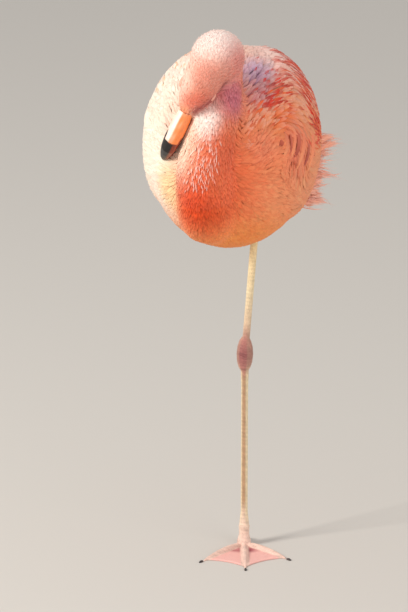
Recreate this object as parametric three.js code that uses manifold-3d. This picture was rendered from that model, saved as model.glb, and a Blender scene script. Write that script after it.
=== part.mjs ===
// A life-size Chilean flamingo asleep on its left leg. The neck rises in front of the breast, bends
// over at the top, and the head hangs down over it with the bill tucked beside the right shoulder.
// Millimetres, +Z up. The bird faces -Y and its left side is +X. The origin is on the sole of the
// standing foot, under the leg.

import * as THREE from 'three';
import { mergeVertices } from 'three/addons/utils/BufferGeometryUtils.js';
import Module from 'manifold-3d';

const wasm = await Module();
wasm.setup();

const at = (x, y, z) => new THREE.Vector3(x, y, z);

// ---------------------------------------------------------------- driving dimensions

const GAP = 0.3; // clearance between pieces that touch
const LONG_FACE_GAP = 0.8; // and round pieces with long flat faces

// The trunk: an egg that is widest at the breast, about an axis that runs from front to rear.
const TRUNK = {
  centre: at(-4, -44, 520),
  frontLength: 157, // from the widest section to the breast
  rearLength: 186, // and from there to the rump
  halfWidth: 95,
  halfHeight: 117,
  shoulders: 0.04, // how far the upper sides stand out beyond an ellipse
  lean: 5, // how far the back leans to the right over the belly
  rearNarrowing: 0.3, // how much slimmer the rump is than the widest section
};

const WING_THICKNESS = 6;
const WING_INNER_EDGE = 14; // distance of each wing's inner edge from the middle of the back
const FEATHER_TILT = 0.9; // how far the long feathers lean in over the rump, as rise per side step
const TERTIALS = { halfWidth: 36, halfThickness: 7 };
const PRIMARIES = { halfWidth: 11, halfThickness: 4 };
const TAIL = {
  root: 60,
  end: 210,
  height: 483,
  rootHalfWidth: 20,
  endHalfWidth: 34,
  endBulge: 16, // how far the rounded end stands out past its corners
  thickness: 8,
  droop: 8,
};

// The middle line of the neck, from inside the breast to the bend at the top.
const NECK_LINE = [
  at(-5, -128, 461),
  at(-3, -166, 473),
  at(1, -191, 506),
  at(2, -194, 538),
  at(4, -181, 568),
  at(5, -159, 593),
  at(6, -146, 618),
  at(7, -146, 648),
];
const NECK = { baseRadius: 37, topRadius: 26 };
const NECK_CUTS = [0, 0.36, 0.7, 1]; // where the neck is parted, as shares of its middle line
const BEND = { centre: at(7, -157, 653), halfWidth: 31, halfDepth: 40, halfHeight: 32 };

// The head's own frame: +X runs out along the bill, +Z is the crown and +Y is its left side.
const HEAD = {
  centre: at(-5, -184, 631),
  forward: at(-0.369, -0.358, -0.858),
  crown: at(0.248, -0.923, 0.292),
  rearLength: 42,
  billBase: 36, // where the feathers end and the bill begins
  halfWidth: 25,
  halfHeight: 25,
  taper: 0.3, // how much slimmer the face is than the nape
};
const EYE = { radius: 6.5, forward: 9, up: -3, aside: 15.5 };
const BILL = {
  straight: 38, // from the feathers to the sharp bend
  hooked: 52, // from the bend to the tip
  hookAngle: THREE.MathUtils.degToRad(64),
  halfWidth: 12,
  lidHalfHeight: 10,
  troughHalfHeight: 12,
  troughDrop: 9, // how far the lower half lies under the upper one
  socket: 16, // how far its root reaches into the head
  taper: 0.35,
};

// The standing leg, from the sole up.
const ANKLE = at(0, 0, 248);
const LEG_TOP = at(16, -14, 414);
const SHANK_RADIUS = 4.6;
const TARSUS_RADIUS = 4.4;
const TARSUS_FLARE = { foot: 2.6, ankle: 1.2 };
const ANKLE_JOINT = { radius: 10.5, halfLength: 24, foldedHalfLength: 15 };
const FOOT_HUB = { radius: 9, height: 26 };
const WEB_THICKNESS = 2.4;
const TOE_HALF_WIDTH = 4.6;
const TOE_HEIGHT = 7.5;
const CLAW = { length: 7, halfWidth: 2, height: 3.2 };
const TOES = [
  { name: 'inner', tip: at(-35, -65, 0) },
  { name: 'middle', tip: at(21, -75, 0) },
  { name: 'outer', tip: at(62, -32, 0) },
];
const HIND_TOE = { root: at(-2, 5, 13), tip: at(-6, 19, 4), radius: 3.4 };

// The folded leg: the shank runs back to the ankle and the foot is buried in the belly plumage.
const FOLDED_SHANK_TOP = at(-41, 48, 465);
const FOLDED_ANKLE = at(-39, 116, 417);
const FOLDED_TARSUS_END = at(-35, -14, 423);

// Loose plumes on the left flank: pointed tufts one above another in an upright sheet.
const PLUME = { root: at(59, 44, 429), turn: THREE.MathUtils.degToRad(36), thickness: 3 };
const PLUME_SPACING = 15;
const PLUME_REACH = [34, 38, 46, 42, 52]; // how far each tuft stands out, from the lowest up

const COLOURS = {
  plumage: 0xe89a80,
  wing: 0xf0a898,
  blush: 0xf3d6cc,
  black: 0x2a211f,
  bill: 0xf2b08c,
  eye: 0xe8d58a,
  leg: 0xe3cfa6,
  joint: 0xb97a80,
  foot: 0xf0b4ae,
  claw: 0x6f5750,
};

// ---------------------------------------------------------------- shaping

// Moves every vertex of a geometry to the place that `move` gives it.
function reshaped(geometry, move) {
  const position = geometry.attributes.position;
  const point = at(0, 0, 0);
  for (let i = 0; i < position.count; i += 1) {
    point.fromBufferAttribute(position, i);
    const moved = move(point);
    position.setXYZ(i, moved.x, moved.y, moved.z);
  }
  return geometry;
}

// The point of a curve at a share of its length, with its direction and two directions across it.
function frameOn(curve, share, side) {
  const point = curve.getPointAt(share);
  const along = curve.getTangentAt(share);
  const across = side.clone().addScaledVector(along, -side.dot(along)).normalize();
  const over = across.clone().cross(along);
  return { point, across, over };
}

function placedOn(curve, share, side, acrossBy, overBy) {
  const { point, across, over } = frameOn(curve, share, side);
  return point.addScaledVector(across, acrossBy).addScaledVector(over, overBy);
}

// A bar with flat ends along part of a curve. `halfSizes` gives its two half sizes at a share.
function bar({ curve, side, halfSizes, around, steps, from = 0, to = 1 }) {
  const unit = new THREE.CylinderGeometry(1, 1, 1, around, steps);
  return reshaped(unit, (p) => {
    const share = from + (to - from) * THREE.MathUtils.clamp(p.y + 0.5, 0, 1);
    const [wide, deep] = halfSizes(share);
    return placedOn(curve, share, side, p.x * wide, p.z * deep);
  });
}

// A spindle with round ends along a whole curve.
function spindle({ curve, side, halfSizes, around, steps }) {
  const unit = new THREE.SphereGeometry(1, around, steps);
  return reshaped(unit, (p) => {
    const share = THREE.MathUtils.clamp((1 + p.y) / 2, 0, 1);
    const [wide, deep] = halfSizes(share);
    return placedOn(curve, share, side, p.x * wide, p.z * deep);
  });
}

// ---------------------------------------------------------------- joining and cutting

// A closed geometry as a solid, pushed out by `grown` along its normals.
function solidOf(geometry, grown = 0) {
  const bare = geometry.clone();
  bare.deleteAttribute('normal');
  bare.deleteAttribute('uv');
  const merged = mergeVertices(bare);
  merged.computeVertexNormals();
  const { position, normal } = merged.attributes;
  for (let i = 0; i < position.count; i += 1) {
    position.setXYZ(
      i,
      position.getX(i) + grown * normal.getX(i),
      position.getY(i) + grown * normal.getY(i),
      position.getZ(i) + grown * normal.getZ(i),
    );
  }
  const vertProperties = new Float32Array(position.array);
  const triVerts = new Uint32Array(merged.index.array);
  return new wasm.Manifold(new wasm.Mesh({ numProp: 3, vertProperties, triVerts }));
}

function geometryOf(solid) {
  const { vertProperties, triVerts } = solid.getMesh();
  const geometry = new THREE.BufferGeometry();
  geometry.setAttribute('position', new THREE.BufferAttribute(vertProperties, 3));
  geometry.setIndex(new THREE.BufferAttribute(triVerts, 1));
  geometry.computeVertexNormals();
  return geometry;
}

// The largest body that is left of a geometry when its neighbours, with their clearance, are cut out.
function cutBy(geometry, neighbours, gap = GAP) {
  const clear = neighbours.reduce((left, n) => left.subtract(solidOf(n, gap)), solidOf(geometry));
  const bodies = clear.decompose().sort((a, b) => b.volume() - a.volume());
  return geometryOf(bodies[0]);
}

function joined(geometries) {
  return geometryOf(geometries.map((g) => solidOf(g)).reduce((all, next) => all.add(next)));
}

// ---------------------------------------------------------------- trunk, wings and tail

// The plumage of the trunk as a warped unit sphere, whose Y runs from the breast to the rump.
function trunkShape(extra = 0) {
  const { centre, frontLength, rearLength, halfWidth, halfHeight } = TRUNK;
  const { shoulders, lean, rearNarrowing } = TRUNK;
  const unit = new THREE.SphereGeometry(1, 28, 20);
  return reshaped(unit, (p) => {
    const rear = Math.max(p.y, 0);
    const diagonal = (2 * p.x * Math.max(p.z, 0)) / Math.max(p.x * p.x + p.z * p.z, 1e-6);
    const girth = 1 - rearNarrowing * rear * rear + shoulders * diagonal * diagonal;
    return at(
      centre.x + p.x * (halfWidth * girth + extra) - lean * p.z,
      centre.y + p.y * ((p.y > 0 ? rearLength : frontLength) + extra),
      centre.z + p.z * (halfHeight * girth + extra),
    );
  });
}

// The folded wing seen from its side, as an outline in Y (to the rear) and Z (up).
function wingOutline() {
  const edge = [
    [-140, 533], [-124, 569], [-72, 607], [-12, 630], [72, 616], [136, 574],
    [156, 522], [128, 487], [68, 455], [-12, 439], [-82, 449], [-126, 489],
  ].map(([y, z]) => new THREE.Vector2(y, z));
  const outline = new THREE.Shape();
  outline.moveTo(edge[0].x, edge[0].y);
  outline.splineThru([...edge.slice(1), edge[0]]);
  return outline;
}

// The long inner feathers of the wing, which lie over the rump and reach the end of the tail.
function tertials(side) {
  const curve = new THREE.QuadraticBezierCurve3(
    at(TRUNK.centre.x + side * 56, 0, 562),
    at(TRUNK.centre.x + side * 52, 112, 558),
    at(TRUNK.centre.x + side * 18, 216, 491),
  );
  const halfSizes = () => [TERTIALS.halfThickness, TERTIALS.halfWidth];
  const outward = at(side, 0, FEATHER_TILT);
  return spindle({ curve, side: outward, halfSizes, around: 12, steps: 12 });
}

// A folded wing: a shell of even thickness over the trunk's side, cut to the wing's outline, with
// the tertials behind it. `side` is 1 on the bird's left and -1 on its right.
function wing(side) {
  const reach = TRUNK.halfWidth + 4 * WING_THICKNESS;
  const block = new THREE.ExtrudeGeometry(wingOutline(), {
    depth: reach - WING_INNER_EDGE,
    bevelEnabled: false,
    curveSegments: 2,
  });
  const sideways = new THREE.Matrix4().makeBasis(at(0, 1, 0), at(0, 0, 1), at(1, 0, 0));
  block.applyMatrix4(sideways);
  block.translate(TRUNK.centre.x + (side > 0 ? WING_INNER_EDGE : -reach), 0, 0);
  const panel = solidOf(trunkShape(WING_THICKNESS)).intersect(solidOf(block));
  return cutBy(geometryOf(panel.add(solidOf(tertials(side)))), [trunkShape()]);
}

// The black flight feathers whose ends show behind and below the folded wing.
function primaries(side) {
  const curve = new THREE.QuadraticBezierCurve3(
    at(TRUNK.centre.x + side * 66, 50, 503),
    at(TRUNK.centre.x + side * 62, 120, 495),
    at(TRUNK.centre.x + side * 24, 222, 477),
  );
  const halfSizes = () => [PRIMARIES.halfThickness, PRIMARIES.halfWidth];
  const outward = at(side, 0, FEATHER_TILT / 2);
  return spindle({ curve, side: outward, halfSizes, around: 8, steps: 6 });
}

// A short flat tail that widens to a rounded end and droops a little.
function tail() {
  const { root, end, height, rootHalfWidth, endHalfWidth, endBulge, thickness, droop } = TAIL;
  const outline = new THREE.Shape();
  outline.moveTo(-rootHalfWidth, root);
  outline.lineTo(rootHalfWidth, root);
  outline.lineTo(endHalfWidth, end - endBulge);
  outline.quadraticCurveTo(0, end + endBulge, -endHalfWidth, end - endBulge);
  outline.lineTo(-rootHalfWidth, root);
  const flat = new THREE.ExtrudeGeometry(outline, {
    depth: thickness,
    bevelEnabled: false,
    curveSegments: 8,
  });
  const slope = -droop / (end - root);
  return reshaped(flat, (p) => at(TRUNK.centre.x + p.x, p.y, height + p.z + slope * (p.y - root)));
}

// Loose plumes that the wind lifts off the left flank.
function flankPlume() {
  const outline = new THREE.Shape();
  outline.moveTo(0, 0);
  PLUME_REACH.forEach((reach, i) => {
    outline.lineTo(reach, PLUME_SPACING * (i + 0.3));
    outline.lineTo(reach * 0.72, PLUME_SPACING * (i + 0.8));
  });
  outline.lineTo(0, PLUME_REACH.length * PLUME_SPACING);
  const sheet = new THREE.ExtrudeGeometry(outline, { depth: PLUME.thickness, bevelEnabled: false });
  sheet.rotateX(Math.PI / 2);
  sheet.rotateZ(PLUME.turn);
  return sheet.translate(PLUME.root.x, PLUME.root.y, PLUME.root.z);
}

// ---------------------------------------------------------------- neck and head

const neckCurve = new THREE.CatmullRomCurve3(NECK_LINE);
const neckSide = at(1, 0, 0);

function neckHalfSizes(share) {
  const radius = THREE.MathUtils.lerp(NECK.baseRadius, NECK.topRadius, share);
  return [radius, radius];
}

function neckLength(from, to, around = 14, steps = 5) {
  return bar({ curve: neckCurve, side: neckSide, halfSizes: neckHalfSizes, around, steps, from, to });
}

function neckBend() {
  const { centre, halfWidth, halfDepth, halfHeight } = BEND;
  const unit = new THREE.SphereGeometry(1, 16, 12).rotateX(Math.PI / 2);
  return unit.scale(halfWidth, halfDepth, halfHeight).translate(centre.x, centre.y, centre.z);
}

// Takes a geometry from the head's own frame to its place on the bird.
function onHead(geometry) {
  const forward = HEAD.forward.clone().normalize();
  const left = HEAD.crown.clone().cross(forward).normalize();
  const crown = forward.clone().cross(left);
  const pose = new THREE.Matrix4().makeBasis(forward, left, crown).setPosition(HEAD.centre);
  return geometry.applyMatrix4(pose);
}

// The feathered head, narrowing from the nape to the base of the bill.
function skull() {
  const curve = new THREE.LineCurve3(at(-HEAD.rearLength, 0, 0), at(HEAD.billBase + 6, 0, -2));
  const halfSizes = (share) => {
    const slimmed = 1 - HEAD.taper * share * share;
    return [HEAD.halfWidth * slimmed, HEAD.halfHeight * slimmed];
  };
  return onHead(spindle({ curve, side: at(0, -1, 0), halfSizes, around: 14, steps: 10 }));
}

function eyeball(side) {
  const ball = new THREE.SphereGeometry(EYE.radius, 10, 8);
  return onHead(ball.translate(EYE.forward, side * EYE.aside, EYE.up));
}

// The line that both halves of the bill follow: straight, then bent sharply down.
function billCurve(drop) {
  const root = at(HEAD.billBase - BILL.socket, 0, -1 - drop);
  const bend = at(HEAD.billBase + BILL.straight, 0, -5 - drop);
  const down = at(Math.cos(BILL.hookAngle), 0, -Math.sin(BILL.hookAngle));
  const tip = bend.clone().addScaledVector(down, BILL.hooked - drop);
  return new THREE.CatmullRomCurve3([
    root,
    root.clone().lerp(bend, 0.5),
    bend,
    bend.clone().lerp(tip, 0.5).add(at(2, 0, 2)),
    tip,
  ]);
}

// Half of the bill: the deep trough below, or the lid that lies on it.
function billHalf(drop, halfHeight) {
  const halfSizes = (share) => {
    const slimmed = 1 - BILL.taper * share;
    return [BILL.halfWidth * slimmed, halfHeight * slimmed];
  };
  const curve = billCurve(drop);
  return onHead(spindle({ curve, side: at(0, -1, 0), halfSizes, around: 10, steps: 12 }));
}

// ---------------------------------------------------------------- legs and feet

// A round straight bar between two points, with a radius given at each share of its length.
function bone(start, end, radiusAt, { around = 10, steps = 4 } = {}) {
  const halfSizes = (share) => [radiusAt(share), radiusAt(share)];
  const curve = new THREE.LineCurve3(start, end);
  return bar({ curve, side: at(1, 0, 0), halfSizes, around, steps });
}

function joint(centre, direction, halfLength) {
  const reach = direction.clone().normalize().multiplyScalar(halfLength);
  const curve = new THREE.LineCurve3(centre.clone().sub(reach), centre.clone().add(reach));
  const halfSizes = () => [ANKLE_JOINT.radius, ANKLE_JOINT.radius];
  return spindle({ curve, side: at(1, 0, 0), halfSizes, around: 12, steps: 8 });
}

// The tarsus flares into the foot at its lower end, and a little into the ankle at its upper end.
function tarsusRadius(share) {
  const flareToFoot = Math.max(0, 1 - share / 0.1) ** 2;
  const flareToAnkle = Math.max(0, share - 0.8) / 0.2;
  return TARSUS_RADIUS + TARSUS_FLARE.foot * flareToFoot + TARSUS_FLARE.ankle * flareToAnkle;
}

// A toe with a flat sole that lies on the floor.
function toe(tip) {
  const curve = new THREE.LineCurve3(at(0, 0, 0), tip);
  const side = at(-tip.y, tip.x, 0).normalize();
  const halfSizes = (share) => [TOE_HALF_WIDTH * (1.25 - 0.5 * share), TOE_HEIGHT * (1.3 - 0.5 * share)];
  const round = spindle({ curve, side, halfSizes, around: 10, steps: 7 });
  return reshaped(round, (p) => at(p.x, p.y, Math.max(p.z, 0)));
}

function claw(tip) {
  const reach = tip.length();
  const start = tip.clone().multiplyScalar((reach - 1) / reach);
  const end = tip.clone().multiplyScalar((reach + CLAW.length) / reach);
  const curve = new THREE.LineCurve3(start, end);
  const side = at(-tip.y, tip.x, 0).normalize();
  const halfSizes = () => [CLAW.halfWidth, CLAW.height];
  const round = spindle({ curve, side, halfSizes, around: 6, steps: 4 });
  return reshaped(round, (p) => at(p.x, p.y, Math.max(p.z, 0)));
}

// The webs between the front toes, with a front edge that curves in.
function webs() {
  const [inner, middle, outer] = TOES.map((t) => new THREE.Vector2(t.tip.x, t.tip.y).multiplyScalar(0.93));
  const outline = new THREE.Shape();
  outline.moveTo(0, 4);
  outline.lineTo(inner.x, inner.y);
  for (const [from, to] of [[inner, middle], [middle, outer]]) {
    const dip = from.clone().add(to).multiplyScalar(0.42);
    outline.quadraticCurveTo(dip.x, dip.y, to.x, to.y);
  }
  outline.lineTo(0, 4);
  return new THREE.ExtrudeGeometry(outline, {
    depth: WEB_THICKNESS,
    bevelEnabled: false,
    curveSegments: 6,
  });
}

function footHub() {
  const { radius, height } = FOOT_HUB;
  const profile = new THREE.SplineCurve([
    new THREE.Vector2(radius, 0),
    new THREE.Vector2(radius * 0.95, height * 0.25),
    new THREE.Vector2(radius * 0.72, height * 0.6),
    new THREE.Vector2(TARSUS_RADIUS + TARSUS_FLARE.foot, height),
  ]).getPoints(6);
  const outline = [new THREE.Vector2(0, 0), ...profile, new THREE.Vector2(0, height)];
  return new THREE.LatheGeometry(outline, 14).rotateX(Math.PI / 2);
}

function foot() {
  return joined([footHub(), webs(), ...TOES.map((t) => toe(t.tip))]);
}

function hindToe() {
  const curve = new THREE.LineCurve3(HIND_TOE.root, HIND_TOE.tip);
  const halfSizes = () => [HIND_TOE.radius, HIND_TOE.radius];
  return spindle({ curve, side: at(1, 0, 0), halfSizes, around: 10, steps: 7 });
}

// ---------------------------------------------------------------- assembly

const flamingo = new THREE.Group();

function add(name, geometry, color, roughness = 0.9) {
  const material = new THREE.MeshStandardMaterial({ color, roughness, metalness: 0 });
  const mesh = new THREE.Mesh(geometry, material);
  mesh.name = name;
  flamingo.add(mesh);
  return geometry;
}

const billUpperShape = billHalf(0, BILL.lidHalfHeight);
const billLowerShape = billHalf(BILL.troughDrop, BILL.troughHalfHeight);
const bendShape = neckBend();
const headShape = skull();

const trunk = add('trunk', cutBy(trunkShape(), [billUpperShape, billLowerShape, headShape]), COLOURS.plumage);
const wingLeft = add('wing_left', wing(1), COLOURS.wing);
const wingRight = add('wing_right', cutBy(wing(-1), [billUpperShape, billLowerShape]), COLOURS.wing);
const primariesShapes = [primaries(1), primaries(-1)];
add('primaries_left', cutBy(primariesShapes[0], [trunk, wingLeft]), COLOURS.black);
add('primaries_right', cutBy(primariesShapes[1], [trunk, wingRight]), COLOURS.black);
const tailCut = cutBy(tail(), [trunk, wingLeft, wingRight, ...primariesShapes], LONG_FACE_GAP);
add('tail', tailCut, COLOURS.wing);
add('plume_left', cutBy(flankPlume(), [trunk, wingLeft]), COLOURS.blush);

const neckPieces = ['neck_base', 'neck_middle', 'neck_upper'].map((name, i) => {
  const start = NECK_CUTS[i] + (i > 0 ? 0.001 : 0);
  const neighbours = [trunk, bendShape, billUpperShape, billLowerShape];
  return add(name, cutBy(neckLength(start, NECK_CUTS[i + 1]), neighbours), COLOURS.plumage);
});
add('neck_bend', bendShape, COLOURS.blush);

const eyes = [eyeball(1), eyeball(-1)];
const billUpper = cutBy(billUpperShape, neckPieces);
const head = cutBy(headShape, [...neckPieces, bendShape, ...eyes]);
add('head', head, COLOURS.blush);
add('bill_upper', cutBy(billUpper, [head]), COLOURS.bill, 0.5);
add('bill_lower', cutBy(billLowerShape, [billUpper, head, ...neckPieces]), COLOURS.bill, 0.5);
add('eye_left', cutBy(eyes[0], neckPieces), COLOURS.eye, 0.1);
add('eye_right', cutBy(eyes[1], neckPieces), COLOURS.eye, 0.1);

const ankle = add('ankle_left', joint(ANKLE, at(0.03, -0.02, 1), ANKLE_JOINT.halfLength), COLOURS.joint, 0.6);
add('shank_left', cutBy(bone(ANKLE, LEG_TOP, () => SHANK_RADIUS), [trunk, ankle]), COLOURS.leg, 0.6);
const footPiece = add('foot_left', foot(), COLOURS.foot, 0.6);
const tarsusLeft = bone(at(0, 0, FOOT_HUB.height - 4), ANKLE, tarsusRadius, { steps: 10 });
const tarsus = add('tarsus_left', cutBy(tarsusLeft, [ankle, footPiece]), COLOURS.leg, 0.6);
add('hind_toe_left', cutBy(hindToe(), [footPiece, tarsus]), COLOURS.foot, 0.6);
for (const { name, tip } of TOES) {
  add(`claw_${name}_left`, cutBy(claw(tip), [footPiece]), COLOURS.claw, 0.5);
}

const foldedJoint = joint(FOLDED_ANKLE, at(0, 0.25, 1), ANKLE_JOINT.foldedHalfLength);
const foldedAnkle = add('ankle_right', foldedJoint, COLOURS.joint, 0.6);
const foldedShank = cutBy(bone(FOLDED_SHANK_TOP, FOLDED_ANKLE, () => SHANK_RADIUS), [
  trunk,
  wingRight,
  foldedAnkle,
]);
add('shank_right', foldedShank, COLOURS.leg, 0.6);
const foldedTarsus = bone(FOLDED_ANKLE, FOLDED_TARSUS_END, () => TARSUS_RADIUS);
add('tarsus_right', cutBy(foldedTarsus, [trunk, wingRight, foldedAnkle, foldedShank]), COLOURS.leg, 0.6);

export default flamingo;
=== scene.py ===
# %% [markdown]
# # A resting flamingo, feather by feather
# A flamingo rests on one leg with its neck laid in a double curve over its breast and its bill tucked
# in at the shoulder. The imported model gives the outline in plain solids. This lesson keeps that outline
# and builds what a museum model would show: one skin under everything, a coat of real mesh feathers, a
# two-coloured bill, eyes with lids, and a scaly leg. Everything is in metres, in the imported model's frame.

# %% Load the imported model
import math

import bpy
import numpy as np
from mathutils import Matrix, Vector
from mathutils.bvhtree import BVHTree


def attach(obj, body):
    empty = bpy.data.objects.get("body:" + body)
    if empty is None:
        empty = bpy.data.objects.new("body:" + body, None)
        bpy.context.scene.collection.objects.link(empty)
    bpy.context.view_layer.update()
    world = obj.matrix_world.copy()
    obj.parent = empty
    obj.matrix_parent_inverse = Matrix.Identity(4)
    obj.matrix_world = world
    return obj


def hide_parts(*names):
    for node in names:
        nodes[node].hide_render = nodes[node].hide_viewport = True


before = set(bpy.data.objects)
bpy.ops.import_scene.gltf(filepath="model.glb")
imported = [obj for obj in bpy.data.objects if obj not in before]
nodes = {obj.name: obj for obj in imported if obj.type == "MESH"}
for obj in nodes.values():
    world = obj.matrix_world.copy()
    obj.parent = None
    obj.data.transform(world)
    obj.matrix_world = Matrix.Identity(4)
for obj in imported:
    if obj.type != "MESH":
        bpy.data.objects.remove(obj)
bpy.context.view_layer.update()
MM = 0.001

# %% [markdown]
# ## Where the viewer stands
# The bird is seen from a few steps away, from a little to its left and from above. A long lens keeps
# the ball of the body and the thin leg in proportion. The camera is turned by its angles alone.

# %% The camera
CAMERA_PLACE = (0.9877, -3.8765, 1.6)
CAMERA_DOWN = 17.89
CAMERA_TURN = 15.0
LENS, SENSOR, FARTHEST = 205.7, 36, 60

bpy.ops.object.camera_add(
    location=CAMERA_PLACE,
    rotation=(math.radians(90 - CAMERA_DOWN), 0, math.radians(CAMERA_TURN)),
)
camera = bpy.context.object
camera.data.lens = LENS
camera.data.sensor_width = SENSOR
camera.data.clip_end = FARTHEST
bpy.context.scene.camera = camera
bpy.context.scene.view_settings.view_transform = "Standard"
print("camera looks", CAMERA_DOWN, "degrees down through a lens of", LENS, "mm")

# %% [markdown]
# ## Floor
# A pale plain floor reaches past the frame, so that it is also the backdrop. Nothing on it should draw
# the eye, so it is one matt colour on a single large plane.

# %% Floor
FLOOR_SIZE = 40
FLOOR_COLOUR = (0.62, 0.60, 0.57, 1)
FLOOR_ROUGHNESS = 0.9


def principled(name, colour, roughness):
    """A new material with its Principled shader's plain colour and roughness set."""
    material = bpy.data.materials.new(name)
    material.use_nodes = True
    shader = material.node_tree.nodes["Principled BSDF"]
    shader.inputs["Base Color"].default_value = colour
    shader.inputs["Roughness"].default_value = roughness
    return material


bpy.ops.mesh.primitive_plane_add(size=FLOOR_SIZE)
floor = bpy.context.object
floor.name = "studio_floor"
floor.data.materials.append(principled("studio_floor", FLOOR_COLOUR, FLOOR_ROUGHNESS))
print("floor", FLOOR_SIZE, "metres wide")

# %% [markdown]
# ## Light
# One large warm lamp high on the viewer's left does the work of a low sun and gives the form its light
# and its shadow side. A weaker, wider lamp on the right and a pale sky open up the shadows.

# %% Lamps and sky
BODY_MIDDLE = (0, -0.05, 0.5)
# Each lamp has a name, a place, a size in metres, a power in watts and a colour.
LAMPS = (
    ("key_lamp", (-2.5, -2.3, 2.4), 0.9, 120, (1.0, 0.95, 0.88)),
    ("fill_lamp", (3.0, -2.0, 1.2), 2.5, 42, (1.0, 0.96, 0.92)),
)
SKY_COLOUR = (1.0, 0.97, 0.94, 1)
SKY_STRENGTH = 0.62


def lamp(name, place, aim, size, power, colour):
    """A square soft lamp at a place, turned to shine at a point."""
    bpy.ops.object.light_add(type="AREA", location=place)
    light = bpy.context.object
    light.name = name
    light.data.size = size
    light.data.energy = power
    light.data.color = colour
    light.rotation_euler = (Vector(aim) - Vector(place)).to_track_quat("-Z", "Y").to_euler()


for name, place, size, power, colour in LAMPS:
    lamp(name, place, BODY_MIDDLE, size, power, colour)
world = bpy.data.worlds.new("pale_sky")
world.use_nodes = True
sky = world.node_tree.nodes["Background"]
sky.inputs["Color"].default_value = SKY_COLOUR
sky.inputs["Strength"].default_value = SKY_STRENGTH
bpy.context.scene.world = world

# %% [markdown]
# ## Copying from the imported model
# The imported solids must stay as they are, so each piece that starts from one works on a welded copy.
# The copies of several neighbours can be joined and remeshed: the small gaps between solids close, and
# one continuous surface is left.

# %% Welded copies and modifiers
WELD_REACH = 0.00001


def pick_only(*objects):
    """Deselects everything, then selects these objects and makes the first one active."""
    bpy.ops.object.select_all(action="DESELECT")
    for each in objects:
        each.select_set(True)
    bpy.context.view_layer.objects.active = objects[0]


def welded_copy(name, *names):
    """One new object with welded copies of the named solids."""
    copies = []
    for solid in names:
        copy = bpy.data.objects.new(name, nodes[solid].data.copy())
        bpy.context.scene.collection.objects.link(copy)
        copies.append(copy)
    pick_only(*copies)
    if len(copies) > 1:
        bpy.ops.object.join()
    piece = bpy.context.object
    piece.name = name
    piece.data.materials.clear()
    bpy.ops.object.mode_set(mode="EDIT")
    bpy.ops.mesh.select_all(action="SELECT")
    bpy.ops.mesh.remove_doubles(threshold=WELD_REACH)
    bpy.ops.object.mode_set(mode="OBJECT")
    return piece


def apply_modifier(piece, kind, **settings):
    """Adds a modifier with these settings and applies it at once."""
    modifier = piece.modifiers.new(kind.lower(), kind)
    for key, value in settings.items():
        setattr(modifier, key, value)
    pick_only(piece)
    bpy.ops.object.modifier_apply(modifier=modifier.name)


def hand_over(piece, finish, slot, *replaced):
    piece.data.materials.append(finish)
    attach(piece, "root")
    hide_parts(*replaced)


print("solids to copy from", len(nodes))

# %% [markdown]
# ## Meshes as arrays
# A coat has hundreds of thousands of points. Moving them one by one would take minutes, so a mesh's
# points are read into an array, worked on all together and written back. The small helpers for that,
# and the soft step that blends almost everything below, stand here.

# %% Helpers for arrays
def get_points(mesh):
    """The mesh's vertices as an array."""
    points = np.empty(len(mesh.vertices) * 3, np.float32)
    mesh.vertices.foreach_get("co", points)
    return points.reshape(-1, 3).astype(float)


def set_points(mesh, points):
    """Moves the mesh's vertices to these places."""
    mesh.vertices.foreach_set("co", points.astype(np.float32).ravel())
    mesh.update()


def get_normals(mesh):
    """The mesh's vertex normals as an array."""
    normals = np.empty(len(mesh.vertices) * 3, np.float32)
    mesh.vertex_normals.foreach_get("vector", normals)
    return normals.reshape(-1, 3).astype(float)


def unit(vectors):
    """Each row scaled to length one."""
    return vectors / np.maximum(np.linalg.norm(vectors, axis=-1, keepdims=True), 1e-12)


def smooth_step(low, high, value):
    """0 below low, 1 above high, and a soft rise between."""
    share = np.clip((value - low) / (high - low), 0, 1)
    return share * share * (3 - 2 * share)


def mixed(first, second, share):
    """The first value where share is 0, the second where it is 1, and a mix between."""
    return first * (1 - share) + second * share


print("a quarter of the way up a soft step", smooth_step(0, 1, 0.25))

# %% [markdown]
# ## The frame of the head and the run of the neck
# Feathers lie from the bill back over the head, along the neck and on towards the tail, so the coat
# needs the same guide lines as the solids: the head's centre and its three directions, the bend behind
# it, and the line that the neck follows down to the breast. They are repeated here in metres.

# %% Guide lines of the body
HEAD_CENTRE = np.array((-5, -184, 631)) * MM
HEAD_FORWARD = unit(np.array((-0.369, -0.358, -0.858)))
HEAD_CROWN = unit(np.array((0.248, -0.923, 0.292)))
HEAD_LEFT = np.cross(HEAD_CROWN, HEAD_FORWARD)
BEND_CENTRE = np.array((7, -157, 653)) * MM
BEND_ACROSS = unit(np.array((0.28, 0.88, 0.25)))
NECK_LINE = np.array(
    [(-5, -128, 461), (-3, -166, 473), (1, -191, 506), (2, -194, 538),
     (4, -181, 568), (5, -159, 593), (6, -146, 618), (7, -146, 648)]
) * MM
BREAST_START = np.array((-4, -150, 520)) * MM
WRIST_SWIRL = np.array((72, -118, 560)) * MM


def solid_tree(name):
    """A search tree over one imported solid."""
    mesh = nodes[name].data
    return BVHTree.FromPolygons([v.co for v in mesh.vertices], [p.vertices for p in mesh.polygons])


REGIONS = ("head", "neck_bend", "neck_upper", "neck_middle", "neck_base", "trunk",
           "wing_left", "wing_right")
region_trees = {name: solid_tree(name) for name in REGIONS}


def distances(name, points):
    """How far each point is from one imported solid's surface."""
    find = region_trees[name].find_nearest
    return np.array([find(Vector(p))[3] for p in points])


print("regions of the skin", len(REGIONS))

# %% [markdown]
# ## One skin for the whole bird
# Under its coat a bird has one continuous skin. The solids of the body, neck, head and wings are joined
# and voxel remeshed into one surface, smoothed, and then drawn in by the depth of the coat, which is
# deep on the body and thin on the face. The leg's solids are remeshed more finely, since nothing covers
# them, and joined to the same skin.

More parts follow.
